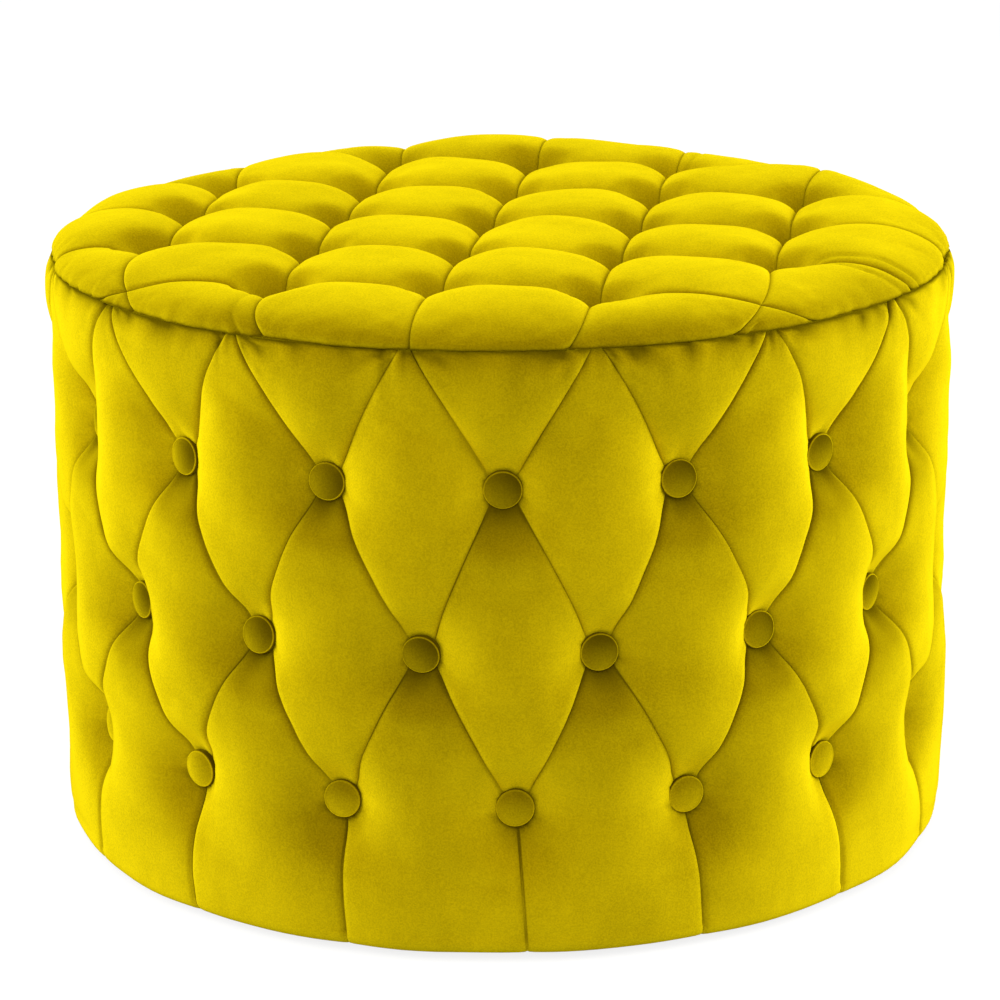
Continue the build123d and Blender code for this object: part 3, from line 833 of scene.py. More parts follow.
    def build(self) -> bpy.types.Object:
        """Builds the closed, tufted form.

        Returns:
            The piece, not yet dressed.
        """
        profile = self.profile()
        radius, height, out_r, out_z, share = [profile[:, [k]] for k in range(5)]
        half, turn = self.spread(height)
        offsets = np.linspace(-1, 1, self.calm_steps) * self.calm_reach
        calm = np.mean([self.spread(height + off)[0] for off in offsets], axis=0)
        grade = np.sin(np.linspace(-1, 1, self.strip_points, endpoint=False) * math.pi / 2)
        angles, place, swollen, width = [], [], [], []
        for column in range(COLUMNS):
            for middle, reach, even_reach in ((column, half, calm), (column + 0.5, 0.5 - half, 0.5 - calm)):
                angles.append(STEP * (middle + grade * reach) + turn)
                place.append(np.broadcast_to(grade, angles[-1].shape))
                swollen.append(np.clip(grade * np.maximum(reach / even_reach, 1), -1, 1))
                width.append(np.broadcast_to(reach * STEP * self.crown, angles[-1].shape))
        angle, s, lifted, wide = [np.concatenate(part, axis=1) for part in (angles, place, swollen, width)]
        even = np.tile(np.repeat([1.0, 0.0], self.strip_points), COLUMNS)
        z = np.broadcast_to(height, angle.shape)
        depth, fold = self.depth(angle, z, s, lifted, wide, even)
        depth = depth * share
        r = radius - depth * out_r
        lean = self.lean * (1 - z / self.seam)
        points = np.stack([r * np.sin(angle) + lean, -r * np.cos(angle), z - depth * out_z], axis=-1)
        rows, columns = angle.shape
        LOG.info("side cover: %d rows of %d points", rows, columns)
        plain = np.flatnonzero((out_r[:, 0] == 1) & (share[:, 0] == 1))
        held = smooth((depth / self.pleat_depth(z) - self.held_start) / (1 - self.held_start))
        held[plain[:self.held_rows]], held[plain[-self.held_rows:]] = 1, 1
        part = points[plain][::2, ::2]
        sheet = piece_of(smooth_mesh("side_sheet", part, ring_faces(*part.shape[:2], False)))
        moved = Swelling().run(sheet, held[plain][::2, ::2]).reshape(part.shape)
        bpy.data.objects.remove(sheet)
        points[plain] += refined(moved)[:len(plain)] * (1 - held[plain])[..., None]
        fold = fold * share
        # Painted shade: the hem rows at the seam are painted dark.
        fold[:plain[0] + 1] = self.hem_shade
        return piece_of(smooth_mesh("velvet_side", points, ring_faces(rows, columns, True), fold))

    def depth(self, angle: np.ndarray, z: np.ndarray, s: np.ndarray, lifted: np.ndarray, wide: np.ndarray,
              even: np.ndarray) -> tuple[np.ndarray, np.ndarray]:
        """How far the velvet lies inside its plain form.

        Args:
            angle: Angles from the front.
            z: Heights.
            s: Places across a strip, -1 to 1 from fold to fold.
            lifted: The same places, evened out past the buttons.
            wide: Half widths of the strips.
            even: 1 on a column's own strip and 0 on the strip between columns.

        Returns:
            Depths in metres and shares of painted shade.
        """
        beside = wide * (1 - np.abs(s)) * self.fold_slant
        around, bowl = np.full(angle.shape, 1.0), np.full(angle.shape, 1.0)
        ripple, shade, sunk = np.zeros(angle.shape), np.zeros(angle.shape), np.zeros(angle.shape)
        for index, row in enumerate(SIDE_ROWS):
            off = (angle - row.turn) / STEP - row.shift
            number = np.round(off)
            x, y = (off - number) * STEP * self.crown, z - row.height
            away = np.hypot(x, y)
            phase = 2.4 * number + 1.7 * index
            ring = np.exp(-((away - self.ripple_ring) / self.ripple_reach) ** 2)
            ripple += ring * gathered(np.arctan2(y, x), phase, -1.6 * phase)
            around = np.minimum(around, away)
            own = even if row.shift == 0 else 1 - even
            # Painted shadow: a dark V below each button, and a dark band around its lower half.
            shade += self.painted_shadow_below * own * smooth(-y / self.painted_shadow_start) * np.exp(np.minimum(y, 0) / self.painted_shadow_reach)
            below = np.clip(-y / np.maximum(away, MM), 0, 1)
            shade += self.painted_ring_shadow * below * np.exp(-np.maximum(away - self.bowl_start, 0) / self.ring_reach)
            sunk += np.exp(-(y / self.row_reach) ** 2)
            bowl = np.minimum(bowl, np.where(away < self.bowl_start, 0.0, np.hypot(self.bowl_squeeze * x, y)))
        x = angle * self.crown
        soft = Waves(11, 26, 0.05, 0.16).at(x, z)
        fine = Waves(12, 30, 0.012, 0.035).at(x, z)
        gather = Waves(13, 18, 0.005, 0.014).at(x, 0 * z)
        lift = (1 - np.abs(lifted) ** self.pillow) * smooth(wide / self.full_width)
        groove = np.exp(-beside / self.tuck_width)
        near = pressed(around)
        loose = 1 - near
        lap = self.lap * even * np.exp(-beside / self.lap_width) * (1 - groove)
        near_seam = np.exp(-(self.seam - z) / self.pucker_reach)
        depth = self.pleat_depth(z) * (1 - lift) + self.row_sink * sunk * lift
        bowl = (1 - np.clip((bowl - self.bowl_start) / self.bowl_width, 0, 1)) ** self.bowl_power
        depth = depth + (self.seat - depth) * bowl + (self.recess - self.seat) * near
        depth += loose * (self.tuck * (1 + self.tuck_change * soft) * groove - lap)
        depth += loose * (self.wave * soft + self.wrinkle * fine * (0.4 + groove))
        depth += self.ripple * ripple + self.pucker * gather * near_seam
        # Painted shade: dark fold lines, a dark seam line, a dark outline at each button and a darker band below the
        # seam.
        shade += self.crease_shade * np.exp(-beside / self.crease_line) * loose
        shade += self.seam_shade * near_seam ** np.clip(3 - 1.2 * gather, 1.2, 6)
        shade += self.seat_shade * np.exp(-(around / self.seat_reach) ** 12)
        shade += self.painted_seam_band * np.exp(-(self.seam - z) / self.seam_reach) * (1 + 0.45 * gather)
        return depth, np.clip(shade, 0, DARKEST)

    def pleat_depth(self, z: np.ndarray) -> np.ndarray:
        """Depth of the folds, deepest at the buttons.

        Args:
            z: Heights.

        Returns:
            Depths in metres.
        """
        first, second, third = [row.height for row in SIDE_ROWS]
        depth = np.full(z.shape, self.seat)
        for high, low in ((first, second), (second, third)):
            along = np.clip((high - self.clear - z) / (high - low - 2 * self.clear), 0, 1)
            sag = eased(self.seat, self.middle_pleat, 2 * along, self.middle_power)
            depth = np.where((z < high) & (z > low), sag, depth)
        up = np.clip((z - first - self.clear) / (self.seam - first - self.clear), 0, 1)
        depth = np.where(z > first, eased(self.seat, self.seam_pleat, up, self.seam_power), depth)
        down = np.clip((third - self.clear - z) / (third - self.clear - self.bottom), 0, 1)
        return np.where(z < third, eased(self.seat, self.bottom_pleat, down, self.bottom_power), depth)


@dataclass
class TopCover:
    """Velvet of the top: square pillows between tufts, rounded over a rim to the seam."""

    fill: float = 0.8
    pitch: float = 100 * MM
    turn: float = math.radians(-9.2)
    shift: float = -8 * MM
    lines: int = 2
    corner: int = 4
    cell_points: int = 36
    recess: float = 37.0 * MM
    seat: float = 33.5 * MM
    bowl_start: float = 12.0 * MM
    bowl_width: float = 18 * MM
    bowl_power: float = 1.7
    middle_pleat: float = 10 * MM
    tuft_power: float = 3.6
    rim_pleat: float = 2.0 * MM
    rim_fade: float = 70 * MM
    wave: float = 0.8 * MM
    ripple: float = 0.3 * MM
    ripple_ring: float = 20 * MM
    ripple_reach: float = 10 * MM
    pucker: float = 0.4 * MM
    pucker_reach: float = 0.1
    pocket_reach: float = 0.55
    pockets: dict[tuple[float, float], float] = field(default_factory=lambda: {
        (-0.2, 2.7): 4.0, (1.6, 2.4): -6.0, (2.1, 2.1): 4.5, (-2.45, 1.45): -3.0, (-2.3, 2.0): -2.0,
        (-0.6, 2.5): 1.0, (1.5, 1.5): 1.0, (-1.5, -0.5): 1.2,
        (0.5, -1.5): 1.0, (-0.5, 0.5): -0.8, (0.5, 0.5): 0.8, (-2.4, -0.4): 1.0, (2.4, 0.5): 1.0})
    doubled: tuple[tuple[int, int, int, float], ...] = (
        (0, -1, -1, -0.15), (1, -1, 1, -0.13), (1, -1, 1, 0.12), (0, 1, 1, 0.14), (1, 1, -1, 0.13), (0, 2, -1, 0.12))
    pillow: float = 3.3
    tuck: float = 2.4 * MM
    tuck_change: float = 0.15
    tuck_width: float = 1.3 * MM
    second_tuck: float = 0.8
    second_root: float = 0.25
    second_fan: float = 1.2
    second_start: float = 0.12
    second_fade: float = 0.2
    rim_round: float = 72 * MM
    seam_inset: float = 2.2 * MM
    # Strengths and reaches of painted shade: a darker band over the rim, dark spots at the tufts, dark fold lines and
    # a dark seam line.
    painted_rim_shade: float = 0.3
    painted_rim_start: float = 0.25
    painted_tuft_shade: float = 0.4
    tuft_reach: float = 6 * MM
    crease_shade: float = 0.5
    crease_line: float = 1.0 * MM
    second_shade: float = 0.35
    seam_shade: float = 0.6
    fold_hold: float = 4 * MM
    tuft_hold: float = 22 * MM
    seam_hold: float = 0.88
    hem: float = 4 * MM
    crown: float = field(init=False)
    seam: float = field(init=False)
    base: float = field(init=False)
    rim: float = field(init=False)

    def __post_init__(self) -> None:
        """Takes the outer sizes from the frame."""
        self.base, self.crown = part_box("top_cover")[0][2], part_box("top_cover")[1][2]
        self.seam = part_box("side_cover")[1][2]
        self.rim = box_reach("side_cover") - self.seam_inset

    def lattice(self) -> np.ndarray:
        """Places of the mesh lines along one side of the grid.

        Returns:
            Places in metres, closer together at the folds.
        """
        grade = (np.sin(np.linspace(-1, 1, self.cell_points, endpoint=False) * math.pi / 2) + 1) / 2
        reach = math.ceil(1.25 * self.rim / self.pitch)
        return np.concatenate([self.pitch * (cell + grade) for cell in range(-reach, reach)])

    def spots(self) -> list[tuple[float, float]]:
        """Places of the tufts on the grid, without those of its corners."""
        numbers = range(-self.lines, self.lines + 1)
        return [(i * self.pitch, j * self.pitch) for i in numbers for j in numbers if abs(i) + abs(j) < self.corner]

    def flat_place(self, u: Any, v: Any) -> tuple[Any, Any]:
        """Places on the top, X and Y, from places of the turned grid."""
        cos, sin = math.cos(self.turn), math.sin(self.turn)
        return self.shift + u * cos - v * sin, u * sin + v * cos

    def build(self) -> bpy.types.Object:
        """Builds the closed, tufted form.

        Returns:
            The piece, not yet dressed.
        """
        places = self.lattice()
        u, v = [part.ravel() for part in np.meshgrid(places, places)]
        x, y = self.flat_place(u, v)
        flat = self.rim - self.rim_round
        rise = self.crown - self.seam
        arc = math.pi / 2 * math.sqrt((self.rim_round ** 2 + rise ** 2) / 2)
        far = np.hypot(x, y)
        size = len(places)
        keep = far < flat + arc
        number = np.arange(size * size).reshape(size, size)
        corners = np.stack([number[:-1, :-1], number[:-1, 1:], number[1:, 1:], number[1:, :-1]], -1).reshape(-1, 4)
        quads = corners[keep[corners].any(axis=1)]
        used = np.unique(quads)
        fresh = np.full(size * size, -1)
        fresh[used] = np.arange(len(used))
        quads = fresh[quads]
        u, v, x, y, far = [part[used] for part in (u, v, x, y, far)]
        over = np.clip((far - flat) / arc, 0, 1)
        depth, fold = self.depth(u, v, over)
        bend = over * math.pi / 2
        r = np.where(far < flat, far, flat + self.rim_round * np.sin(bend)) - depth * np.sin(bend)
        z = self.seam + rise * np.cos(bend) - depth * np.cos(bend)
        scale = r / np.maximum(far, 1e-6)
        points = np.stack([x * scale, y * scale, z], axis=-1)
        piece = piece_of(smooth_mesh("velvet_top", points, quads, fold))
        points += Swelling().run(piece, self.held(u, v, over))
        piece.data.vertices.foreach_set("co", np.ravel(points).astype(np.float32))
        self.close(piece)
        return piece

    def close(self, piece: bpy.types.Object) -> None:
        """Turns the edge in at the seam and closes the form below.

        Args:
            piece: The open form.
        """
        form = bmesh.new()
        form.from_mesh(piece.data)
        bmesh.ops.dissolve_degenerate(form, dist=1e-6, edges=form.edges[:])
        edges = [edge for edge in form.edges if edge.is_boundary]
        for inset, drop in ((0.4 * self.hem, 0.8 * MM), (self.hem, 1.2 * MM), (2 * self.hem, self.seam - self.base)):
            made = bmesh.ops.extrude_edge_only(form, edges=edges)["geom"]
            edges = [part for part in made if isinstance(part, bmesh.types.BMEdge)]
            for vert in {vert for edge in edges for vert in edge.verts}:
                long = math.hypot(vert.co.x, vert.co.y)
                vert.co.x *= (self.rim - inset) / long
                vert.co.y *= (self.rim - inset) / long
                vert.co.z = self.seam - drop
        bmesh.ops.edgeloop_fill(form, edges=edges)
        bmesh.ops.recalc_face_normals(form, faces=form.faces[:])
        form.to_mesh(piece.data)
        form.free()
        piece.data.shade_smooth()

    def depth(self, u: np.ndarray, v: np.ndarray, over: np.ndarray) -> tuple[np.ndarray, np.ndarray]:
        """How far the velvet lies below its plain form.

        Args:
            u: Places along the grid's rows.
            v: Places along the grid's columns.
            over: How far over the rim, 0 to 1 at the seam.

        Returns:
            Depths in metres and shares of painted shade.
        """
        beside, place = [], []
        for off in self.off_lines(u, v):
            beside.append(off)
            place.append(np.clip(1 - off / (self.pitch / 2), 0, 1))
        i, j = np.round(u / self.pitch), np.round(v / self.pitch)
        inside = (np.abs(i) <= self.lines) & (np.abs(j) <= self.lines)
        tufted = inside & (np.abs(i) + np.abs(j) < self.corner)
        away = np.where(tufted, np.hypot(u - i * self.pitch, v - j * self.pitch), 1.0)
        to_u, to_v = [np.where(tufted, part, 0.0) for part in place]
        mid_u, mid_v = self.open_depth(i, v), self.open_depth(j, u)
        pleat_u = mid_u + (self.seat - mid_u) * to_v ** self.tuft_power
        pleat_v = mid_v + (self.seat - mid_v) * to_u ** self.tuft_power
        across, along = [part ** self.pillow for part in place]
        depth = self.seat * (1 - (1 - pleat_u / self.seat * across) * (1 - pleat_v / self.seat * along))
        soft = Waves(21, 26, 0.05, 0.15).at(u, v)
        clock = np.arctan2(v - j * self.pitch, u - i * self.pitch)
        ring = np.exp(-((away - self.ripple_ring) / self.ripple_reach) ** 2)
        ripple = ring * gathered(clock, 2.1 * i + 1.3 * j, 1.7 * i - 2.3 * j)
        near = pressed(away)
        loose = 1 - near
        edge = np.minimum(*beside)
        second = self.second_folds(u, v)
        groove = np.maximum(np.exp(-edge / self.tuck_width), self.second_tuck * second) * loose
        bowl = (1 - np.clip((away - self.bowl_start) / self.bowl_width, 0, 1)) ** self.bowl_power
        depth = depth + (self.seat - depth) * bowl
        depth = depth + (self.recess - self.seat) * near + self.tuck * groove * (1 + self.tuck_change * soft)
        depth += loose * self.wave * soft + self.ripple * ripple
        depth -= loose * self.uneven(u, v)
        near_seam = np.exp((over - 1) / self.pucker_reach)
        x = np.arctan2(u, v) * self.rim
        depth += near_seam * self.pucker * Waves(23, 18, 0.005, 0.014).at(x, 0 * x)
        # Painted shade: dark fold lines, a dark seam line, dark spots at the tufts and a darker band over the rim.
        shade = (self.crease_shade * np.exp(-edge / self.crease_line) + self.second_shade * second) * loose
        shade += self.seam_shade * near_seam ** 4
        shade += self.painted_tuft_shade * np.exp(-np.maximum(away - self.bowl_start, 0) / self.tuft_reach)
        shade += self.painted_rim_shade * smooth((over - self.painted_rim_start) / (1 - self.painted_rim_start))
        return depth, np.clip(shade, 0, DARKEST)

    def off_lines(self, u: np.ndarray, v: np.ndarray) -> list[np.ndarray]:
        """Distances of places from the nearest line of folds, across the columns and across the rows."""
        nearest = [np.clip(np.round(t / self.pitch), -self.lines, self.lines) * self.pitch for t in (u, v)]
        return [np.abs(t - line) for t, line in zip((u, v), nearest)]

    def second_folds(self, u: np.ndarray, v: np.ndarray) -> np.ndarray:
        """Short folds that run beside some of the folds to the rim, fanning out from their tufts.

        Args:
            u: Places along the grid's rows.
            v: Places along the grid's columns.

        Returns:
            Shares, 1 in the middle of such a fold.
        """
        share = np.zeros(u.shape)
        for axis, line, side, offset in self.doubled:
            across, along = (u, v) if axis == 0 else (v, u)
            past = side * along / self.pitch - self.lines
            middle = self.pitch * (line + offset * np.clip(self.second_root + self.second_fan * past, 0, 1))
            shown = smooth((past - self.second_start) / self.second_fade)
            share = np.maximum(share, np.exp(-np.abs(across - middle) / self.tuck_width) * shown)
        return share

    def held(self, u: np.ndarray, v: np.ndarray, over: np.ndarray) -> np.ndarray:
        """How firmly the folds, the tufts and the seam hold the velvet.

        Args:
            u: Places along the grid's rows.
            v: Places along the grid's columns.
            over: How far over the rim, 0 to 1 at the seam.

        Returns:
            Shares, 0 to 1.
        """
        off = self.off_lines(u, v)
        folds = np.exp(-(np.minimum(*off) / self.fold_hold) ** 2)
        tufts = np.exp(-(np.hypot(*off) / self.tuft_hold) ** 4)
        return np.maximum(np.maximum(folds, tufts), smooth((over - self.seam_hold) / 0.1))

    def uneven(self, u: np.ndarray, v: np.ndarray) -> np.ndarray:
        """How much higher or lower than the rest single pockets were stuffed.

        Args:
            u: Places along the grid's rows.
            v: Places along the grid's columns.

        Returns:
            Heights in metres.
        """
        rise = np.zeros(u.shape)
        for (column, row), amount in self.pockets.items():
            off = np.hypot(u / self.pitch - column, v / self.pitch - row)
            rise += amount * MM * np.exp(-(off / self.pocket_reach) ** 2)
        return rise

    def open_depth(self, line: np.ndarray, t: np.ndarray) -> np.ndarray:
        """Depth of a fold away from its tufts.

        Args:
            line: Number of the fold's line in the grid.
            t: Places along it.

        Returns:
            Depths, less beyond the line's last tuft.
        """
        last = np.minimum(self.lines, self.lines + 1 - np.abs(line)) * self.pitch
        beyond = smooth((np.abs(t) - last) / self.rim_fade)
        return self.middle_pleat + (self.rim_pleat - self.middle_pleat) * beyond


@dataclass
class Button:
    """Velvet-covered button: a dome with a soft rolled edge over a thin rim."""

    radius: float = 12.3 * MM
    height: float = 7.0 * MM
    outline: tuple[tuple[float, float], ...] = (
        (0.55, -0.15), (0.93, -0.10), (1.0, 0.08), (1.0, 0.50), (0.985, 0.60), (0.965, 0.68),
        (0.935, 0.715), (0.905, 0.705), (0.86, 0.72), (0.66, 0.85), (0.45, 0.94), (0.22, 0.985))
    segments: int = 36
    gathers: int = 9
    gather: float = 0.012
    gather_top: float = 0.5
    rim_top: float = 0.65
    bead_edge: float = 0.92
    # Painted shade: the dome dark, darker towards one side, the rim darker still and the bead light.
    dome_shade: float = 0.72
    slant_shade: float = 0.24
    rim_shade: float = 0.95
    bead_shade: float = 0.22

    def build(self) -> bpy.types.Mesh:
        """Builds one button, standing on the origin along +Z.

        Returns:
            Its mesh, with the painted shade of its dome, bead and rim.
        """
        turns = 2 * math.pi * np.arange(self.segments) / self.segments
        # Painted shading: darker towards one side of the dome, as if lit from the other.
        slant = self.slant_shade * (0.6 * np.cos(turns) + 0.8 * np.sin(turns))
        points, shades = [np.array([(0.0, 0.0, self.outline[0][1] * self.height)])], [np.zeros(1)]
        for share, rise in self.outline:
            reach = self.radius * share * (1 + self.gather * np.cos(self.gathers * turns) * (rise < self.gather_top))
            level = np.full(self.segments, rise * self.height)
            points.append(np.stack([reach * np.cos(turns), reach * np.sin(turns), level], axis=-1))
            shade = self.dome_shade + slant * share
            if rise < self.rim_top:
                shade = np.full(self.segments, self.rim_shade)
            elif share > self.bead_edge:
                shade = np.full(self.segments, self.bead_shade)
            shades.append(shade)
        points.append(np.array([(0.0, 0.0, self.height)]))
        shades.append(np.full(1, self.dome_shade))
        faces: list[tuple[int, ...]] = []
        top = 1 + (len(self.outline) - 1) * self.segments
        for index in range(self.segments):
            beside = (index + 1) % self.segments
            faces.append((0, 1 + beside, 1 + index))
            for low in range(1, top, self.segments):
                high = low + self.segments
                faces.append((low + index, low + beside, high + beside, high + index))
            faces.append((top + index, top + beside, top + self.segments))
        return smooth_mesh("button_form", np.concatenate(points), faces, np.concatenate(shades))


class Scatter:
    """A Geometry Nodes tree that sets a form on every point of a mesh, turned by the points' attributes."""

    def __init__(self, form: bpy.types.Mesh, finish: bpy.types.Material) -> None:
        """Builds the tree.

        Args:
            form: The mesh that is set on each point.
            finish: Its material.
        """
        self.form = piece_of(form)
        self.material = finish
        self.tree = bpy.data.node_groups.new("scatter_" + form.name, "GeometryNodeTree")
        kinds = {"Points": "Geometry", "Size": "Float", "Form": "Object", "Finish": "Material"}
        self.inputs = {name: self._socket(name, "INPUT", kind) for name, kind in kinds.items()}
        self._socket("Result", "OUTPUT", "Geometry")
        nodes = Nodes(self.tree)
        start, end = self.tree.nodes.new("NodeGroupInput"), self.tree.nodes.new("NodeGroupOutput")
        given = {name: Value(nodes, start.outputs[name]) for name in kinds}
        shape = nodes.node("GeometryNodeObjectInfo", {}, {"Object": given["Form"]}, "Geometry")
        turn = nodes.node(
            "GeometryNodeInputNamedAttribute", {"data_type": "FLOAT_VECTOR"}, {"Name": "turn"}, "Attribute")
        put = nodes.node("GeometryNodeInstanceOnPoints", {}, {
            "Points": given["Points"], "Instance": shape, "Rotation": turn, "Scale": given["Size"]})
        real = nodes.node("GeometryNodeRealizeInstances", {}, {"Geometry": put})
        paint = nodes.node("GeometryNodeSetMaterial", {}, {"Geometry": real, "Material": given["Finish"]})
        nodes.join(paint, end.inputs["Result"])

    def _socket(self, name: str, side: str, kind: str) -> str:
        """Adds a socket to the tree's interface and returns its identifier."""
        return self.tree.interface.new_socket(name, in_out=side, socket_type="NodeSocket" + kind).identifier

    def over(self, name: str, points: np.ndarray, turns: np.ndarray, size: float = 1.0) -> bpy.types.Object:
        """Sets the form on points and bakes the result.

        Args:
            name: Name of the piece.
            points: Where the forms go, n by 3.
            turns: Euler turns of the forms, n by 3.
            size: Scale of the forms.

        Returns:
            The baked piece.
        """
        carrier = piece_of(smooth_mesh(name + "_points", points, []))
        layer = carrier.data.attributes.new("turn", "FLOAT_VECTOR", "POINT")
        layer.data.foreach_set("vector", np.ravel(turns).astype(np.float32))
        modifier = carrier.modifiers.new("scatter", "NODES")
        modifier.node_group = self.tree
        for key, value in (("Size", size), ("Form", self.form), ("Finish", self.material)):
            modifier[self.inputs[key]] = value
        ready = carrier.evaluated_get(bpy.context.evaluated_depsgraph_get())
        mesh = bpy.data.meshes.new_from_object(ready)
        mesh.name = name
        carrier.modifiers.remove(modifier)
        bpy.data.objects.remove(carrier)
        return piece_of(mesh)

    def done(self) -> None:
        """Takes the source form out of the scene."""
        bpy.data.objects.remove(self.form)


def facing(direction: Sequence[float], spin: float = 0.0) -> tuple[float, float, float]:
    """Euler turn that takes +Z to a direction, after a spin about +Z."""
    turned = Vector(direction).to_track_quat("Z", "Y").to_matrix() @ Matrix.Rotation(spin, 3, "Z")
    return tuple(turned.to_euler())


@dataclass
class Buttons:
    """All covered buttons, each at the bottom of its dimple."""

    top: TopCover
    sink: float = 0.2 * MM
    lift: float = 4.2 * MM
    spin: float = 0.5
    full_spin: float = 6.28
    tilt: float = 0.05
    nod: tuple[float, float] = (0.02, 0.06)
    seed: int = 5

    def build(self, finish: bpy.types.Material) -> None:
        """Builds and dresses the four nodes of buttons.

        Args:
            finish: The velvet.
        """
        # The lower row's buttons get lighter painted shade.
        button, lightly_shaded = Button(), Button(dome_shade=0.34, slant_shade=0.16, bead_shade=0.05)
        scatter, lower = Scatter(button.build(), finish), Scatter(lightly_shaded.build(), finish)
        draw = np.random.default_rng(self.seed)
        reach = box_reach(SIDE_ROWS[0].node) - button.height + self.lift
        for row in SIDE_ROWS:
            angles = [(column + row.shift) * STEP + row.turn for column in range(COLUMNS)]
            points = np.array([(reach * math.sin(a), -reach * math.cos(a), row.height) for a in angles])
            turns = [facing((math.sin(a + draw.normal(0, self.tilt)), -math.cos(a), draw.normal(*self.nod)),
                            draw.normal(0, self.spin)) for a in angles]
            forms = lower if row is SIDE_ROWS[-1] else scatter
            dress(forms.over("covered_" + row.node, points, np.array(turns)), finish, Slot.VELVET, row.node)
        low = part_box("top_buttons")[1][2] - button.height - self.sink
        spots = self.top.spots()
        points = np.array([(*self.top.flat_place(u, v), low) for u, v in spots])
        turns = [facing((draw.normal(0, self.tilt), draw.normal(0, self.tilt), 1), draw.uniform(0, self.full_spin))
                 for _ in spots]
        dress(scatter.over("covered_top_buttons", points, np.array(turns)), finish, Slot.VELVET, "top_buttons")
        scatter.done()
        lower.done()


@dataclass
class SeamStitches:
    """Short sunken stitches along the seam."""

    pitch: float = 5.0 * MM
    length: float = 3.4 * MM
    thick: float = 0.7 * MM
    # Painted shade of the stitches, which sit in the seam's groove.
    shade: float = 0.85
    slant: float = 0.12
    sink: float = 0.3 * MM
    hem_share: float = 0.75
    sides: int = 6
    rings: int = 5

    def form(self) -> bpy.types.Mesh:
        """Builds one stitch along Y, thinner at its ends.

        Returns:
            Its mesh.
        """
        points = []
        for end in np.linspace(-1, 1, self.rings):
            thick = self.thick / 2 * math.sqrt(max(0.05, 1 - end ** 4))
            for k in range(self.sides):
                angle = 2 * math.pi / self.sides * k
                points.append((thick * math.cos(angle), self.length / 2 * end, thick * math.sin(angle)))
        last = (self.rings - 1) * self.sides
        faces: list[tuple[int, ...]] = [tuple(range(self.sides)), tuple(reversed(range(last, len(points))))]
        for low in range(0, last, self.sides):
            high = low + self.sides
            for k in range(self.sides):
                beside = (k + 1) % self.sides
                faces.append((low + k, high + k, high + beside, low + beside))
        return smooth_mesh("stitch_form", np.array(points), faces, np.full(len(points), self.shade))

    def build(self, side: SideCover, finish: bpy.types.Material) -> bpy.types.Object:
        """Builds the stitches in the seam's groove.

        Args:
            side: The cover whose seam they follow.
            finish: The velvet's material, since the thread matches it.

        Returns:
            The piece.
        """
        ring = side.crown - side.seam_inset - self.hem_share * side.hem
        scatter = Scatter(self.form(), finish)
        count = round(2 * math.pi * ring / self.pitch)
        angles = [2 * math.pi * k / count for k in range(count)]
        spots = np.array([(ring * math.sin(a), -ring * math.cos(a), side.seam - self.sink) for a in angles])
        turns = np.array([(0, 0, a - math.pi / 2 + self.slant) for a in angles])
        piece = scatter.over("seam_stitches", spots, turns)
        scatter.done()
        return dress(piece, finish, Slot.VELVET)


@dataclass
class DustCover:
    """Non-woven cloth stretched over the underside, drawn up a little at its staples."""

    staples: int = 32
    staple_points: int = 6
    rings: int = 40
    gap: float = 0.1 * MM
    sag: float = 0.5 * MM
    deepest: float = 0.6 * MM
    free_reach: float = 40 * MM
    lift: float = 0.15 * MM
    lift_reach: float = 15 * MM

    def build(self, finish: bpy.types.Material) -> bpy.types.Object:
        """Builds and dresses the sheet.

        Args:
            finish: The cloth's material.

        Returns:
            The piece.
        """
        low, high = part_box("dust_cover")
        radius, z = (high[0] - low[0]) / 2, low[2]
        columns = self.staples * self.staple_points
        reach = radius * np.arange(self.rings, 0, -1)[:, None] / self.rings
        angle = 2 * math.pi * np.arange(columns) / columns
        x, y = reach * np.sin(angle), -reach * np.cos(angle)
        drop = self.sag * smooth((radius - reach) / self.free_reach) * (0.4 * Waves(31, 16, 0.06, 0.2).at(x, y) - 0.2)
        lift = self.lift * np.exp(-(radius - reach) / self.lift_reach) * (1 - np.cos(self.staples * angle)) / 2
        level = z + self.gap + np.maximum(-self.deepest, drop) - lift
        points = np.concatenate([np.stack([x, y, level], axis=-1).reshape(-1, 3), [(0.0, 0.0, z)]])
        faces: list[tuple[int, ...]] = list(ring_faces(self.rings, columns, False))
        last = (self.rings - 1) * columns
        faces += [(last + k, len(points) - 1, last + (k + 1) % columns) for k in range(columns)]
        piece = dress(piece_of(smooth_mesh("dust_cloth", points, faces)), finish, Slot.DUST_CLOTH, "dust_cover")
        return piece


@dataclass(frozen=True)
class Lamp:
    """A soft square light, aimed at the object."""

    name: str
    place: tuple[float, float, float]
    size: float
    power: float


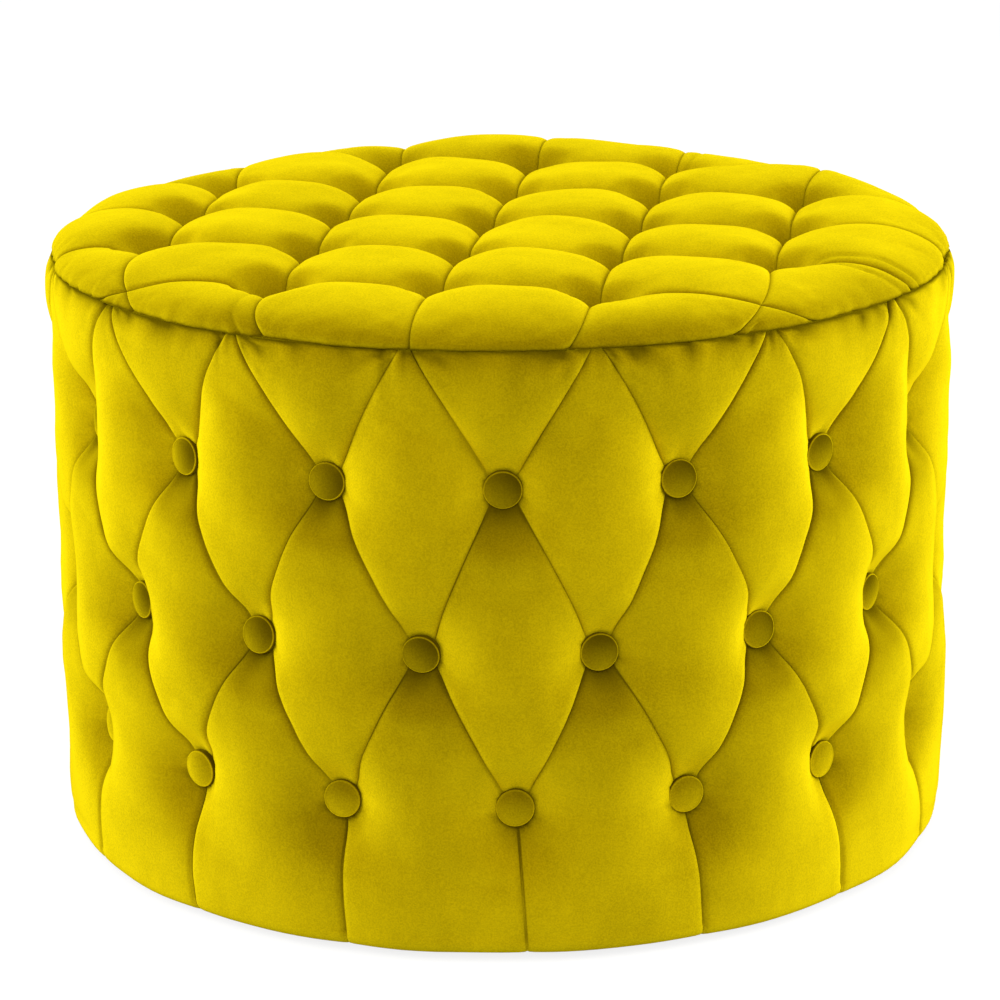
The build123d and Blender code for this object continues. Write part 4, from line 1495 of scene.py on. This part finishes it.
@dataclass
class Studio:
    """White studio: soft dome, four soft lights, a pale floor and the camera."""

    lamps: tuple[Lamp, ...] = (
        Lamp("key", (-0.5, -2.4, 1.7), 1.6, 26),
        Lamp("left", (-2.4, -0.5, 1.0), 1.8, 37),
        Lamp("right", (2.4, -0.5, 1.0), 1.8, 46),
        Lamp("back", (0.0, 2.2, 1.8), 1.8, 12),
    )
    target: tuple[float, float, float] = (0.0, 0.0, 0.211)
    distance: float = 2.7444
    elevation: float = math.radians(15.98)
    roll: float = math.radians(-0.356)
    lens: float = 145.2
    sensor: float = 36.0
    shift_x: float = -0.0016
    shift_y: float = 0.0101
    dome: float = 0.58
    floor_reach: float = 40.0
    floor_color: Color = (0.3, 0.3, 0.3)
    floor_glow: float = 0.82

    def build(self) -> None:
        """Builds everything that is not the object."""
        bpy.context.scene.view_settings.view_transform = "Standard"
        self.world()
        self.floor()
        for lamp in self.lamps:
            self.light(lamp)
        self.camera()

    def seen(self, nodes: Nodes) -> Value:
        """Where the camera sees a place, also in a mirror or through glass.

        Args:
            nodes: The nodes of a material or of the world.

        Returns:
            1 where it is seen, 0 elsewhere.
        """
        share = nodes.node("ShaderNodeLightPath", {}, {}, "Is Camera Ray")
        for ray in ("Is Glossy Ray", "Is Transmission Ray"):
            share = share.larger(nodes.node("ShaderNodeLightPath", {}, {}, ray))
        return share

    def world(self) -> None:
        """White where it is seen, a soft dome to everything else."""
        world = bpy.data.worlds.new("studio")
        bpy.context.scene.world = world
        world.use_nodes = True
        nodes = Nodes(world.node_tree)
        nodes.tree.nodes.clear()
        soft, white = [nodes.node("ShaderNodeBackground", {}, {"Color": (1, 1, 1), "Strength": strength})
                       for strength in (self.dome, 1.0)]
        both = nodes.node("ShaderNodeMixShader", {}, {0: self.seen(nodes), 1: soft, 2: white})
        nodes.join(both, nodes.tree.nodes.new("ShaderNodeOutputWorld").inputs["Surface"])

    def floor(self) -> None:
        """Pale floor that keeps the object's shadow."""
        corners = [(-1, -1, 0), (1, -1, 0), (1, 1, 0), (-1, 1, 0)]
        floor = piece_of(smooth_mesh("studio_floor", self.floor_reach * np.array(corners), [(0, 1, 2, 3)]))
        material = bpy.data.materials.new("studio_floor")
        material.use_nodes = True
        nodes = Nodes(material.node_tree)
        nodes.tree.nodes.clear()
        matte = nodes.node("ShaderNodeBsdfDiffuse", {}, {"Color": self.floor_color})
        glow = nodes.node("ShaderNodeEmission", {}, {"Strength": self.seen(nodes) * self.floor_glow})
        both = nodes.node("ShaderNodeAddShader", {}, {0: matte, 1: glow})
        nodes.join(both, nodes.tree.nodes.new("ShaderNodeOutputMaterial").inputs["Surface"])
        floor.data.materials.append(material)

    def light(self, lamp: Lamp) -> None:
        """Adds a light.

        Args:
            lamp: Its place, size and power.
        """
        light = bpy.data.lights.new(lamp.name, "AREA")
        light.size, light.energy = lamp.size, lamp.power
        holder = bpy.data.objects.new(lamp.name, light)
        holder.location = lamp.place
        holder.rotation_euler = (Vector(self.target) - Vector(lamp.place)).to_track_quat("-Z", "Y").to_euler()
        bpy.context.scene.collection.objects.link(holder)

    def camera(self) -> None:
        """Adds the camera that the photo was taken with."""
        back = Vector((0, -math.cos(self.elevation), math.sin(self.elevation)))
        level = Vector((1, 0, 0))
        upright = back.cross(level)
        right = level * math.cos(self.roll) + upright * math.sin(self.roll)
        up = back.cross(right)
        lens = bpy.data.cameras.new("camera")
        lens.lens, lens.sensor_width = self.lens, self.sensor
        lens.shift_x, lens.shift_y = self.shift_x, self.shift_y
        camera = bpy.data.objects.new("camera", lens)
        turn = Matrix((right, up, back)).transposed().to_4x4()
        camera.matrix_world = Matrix.Translation(Vector(self.target) + self.distance * back) @ turn
        bpy.context.scene.collection.objects.link(camera)
        bpy.context.scene.camera = camera


def main() -> None:
    """Builds the looks of the ottoman."""
    logging.basicConfig(level=logging.INFO, format="%(message)s")
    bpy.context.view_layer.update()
    finishes = Finishes()
    finishes.dress_nodes()
    velvet = finishes.of(Slot.VELVET)
    side, top = SideCover(), TopCover()
    for cover, node in ((side, "side_cover"), (top, "top_cover")):
        piece = dress(cover.build(), velvet, Slot.VELVET, node)
    Buttons(top).build(velvet)
    SeamStitches().build(side, velvet)
    DustCover().build(finishes.of(Slot.DUST_CLOTH))
    Studio().build()


if __name__ == "__main__":
    main()
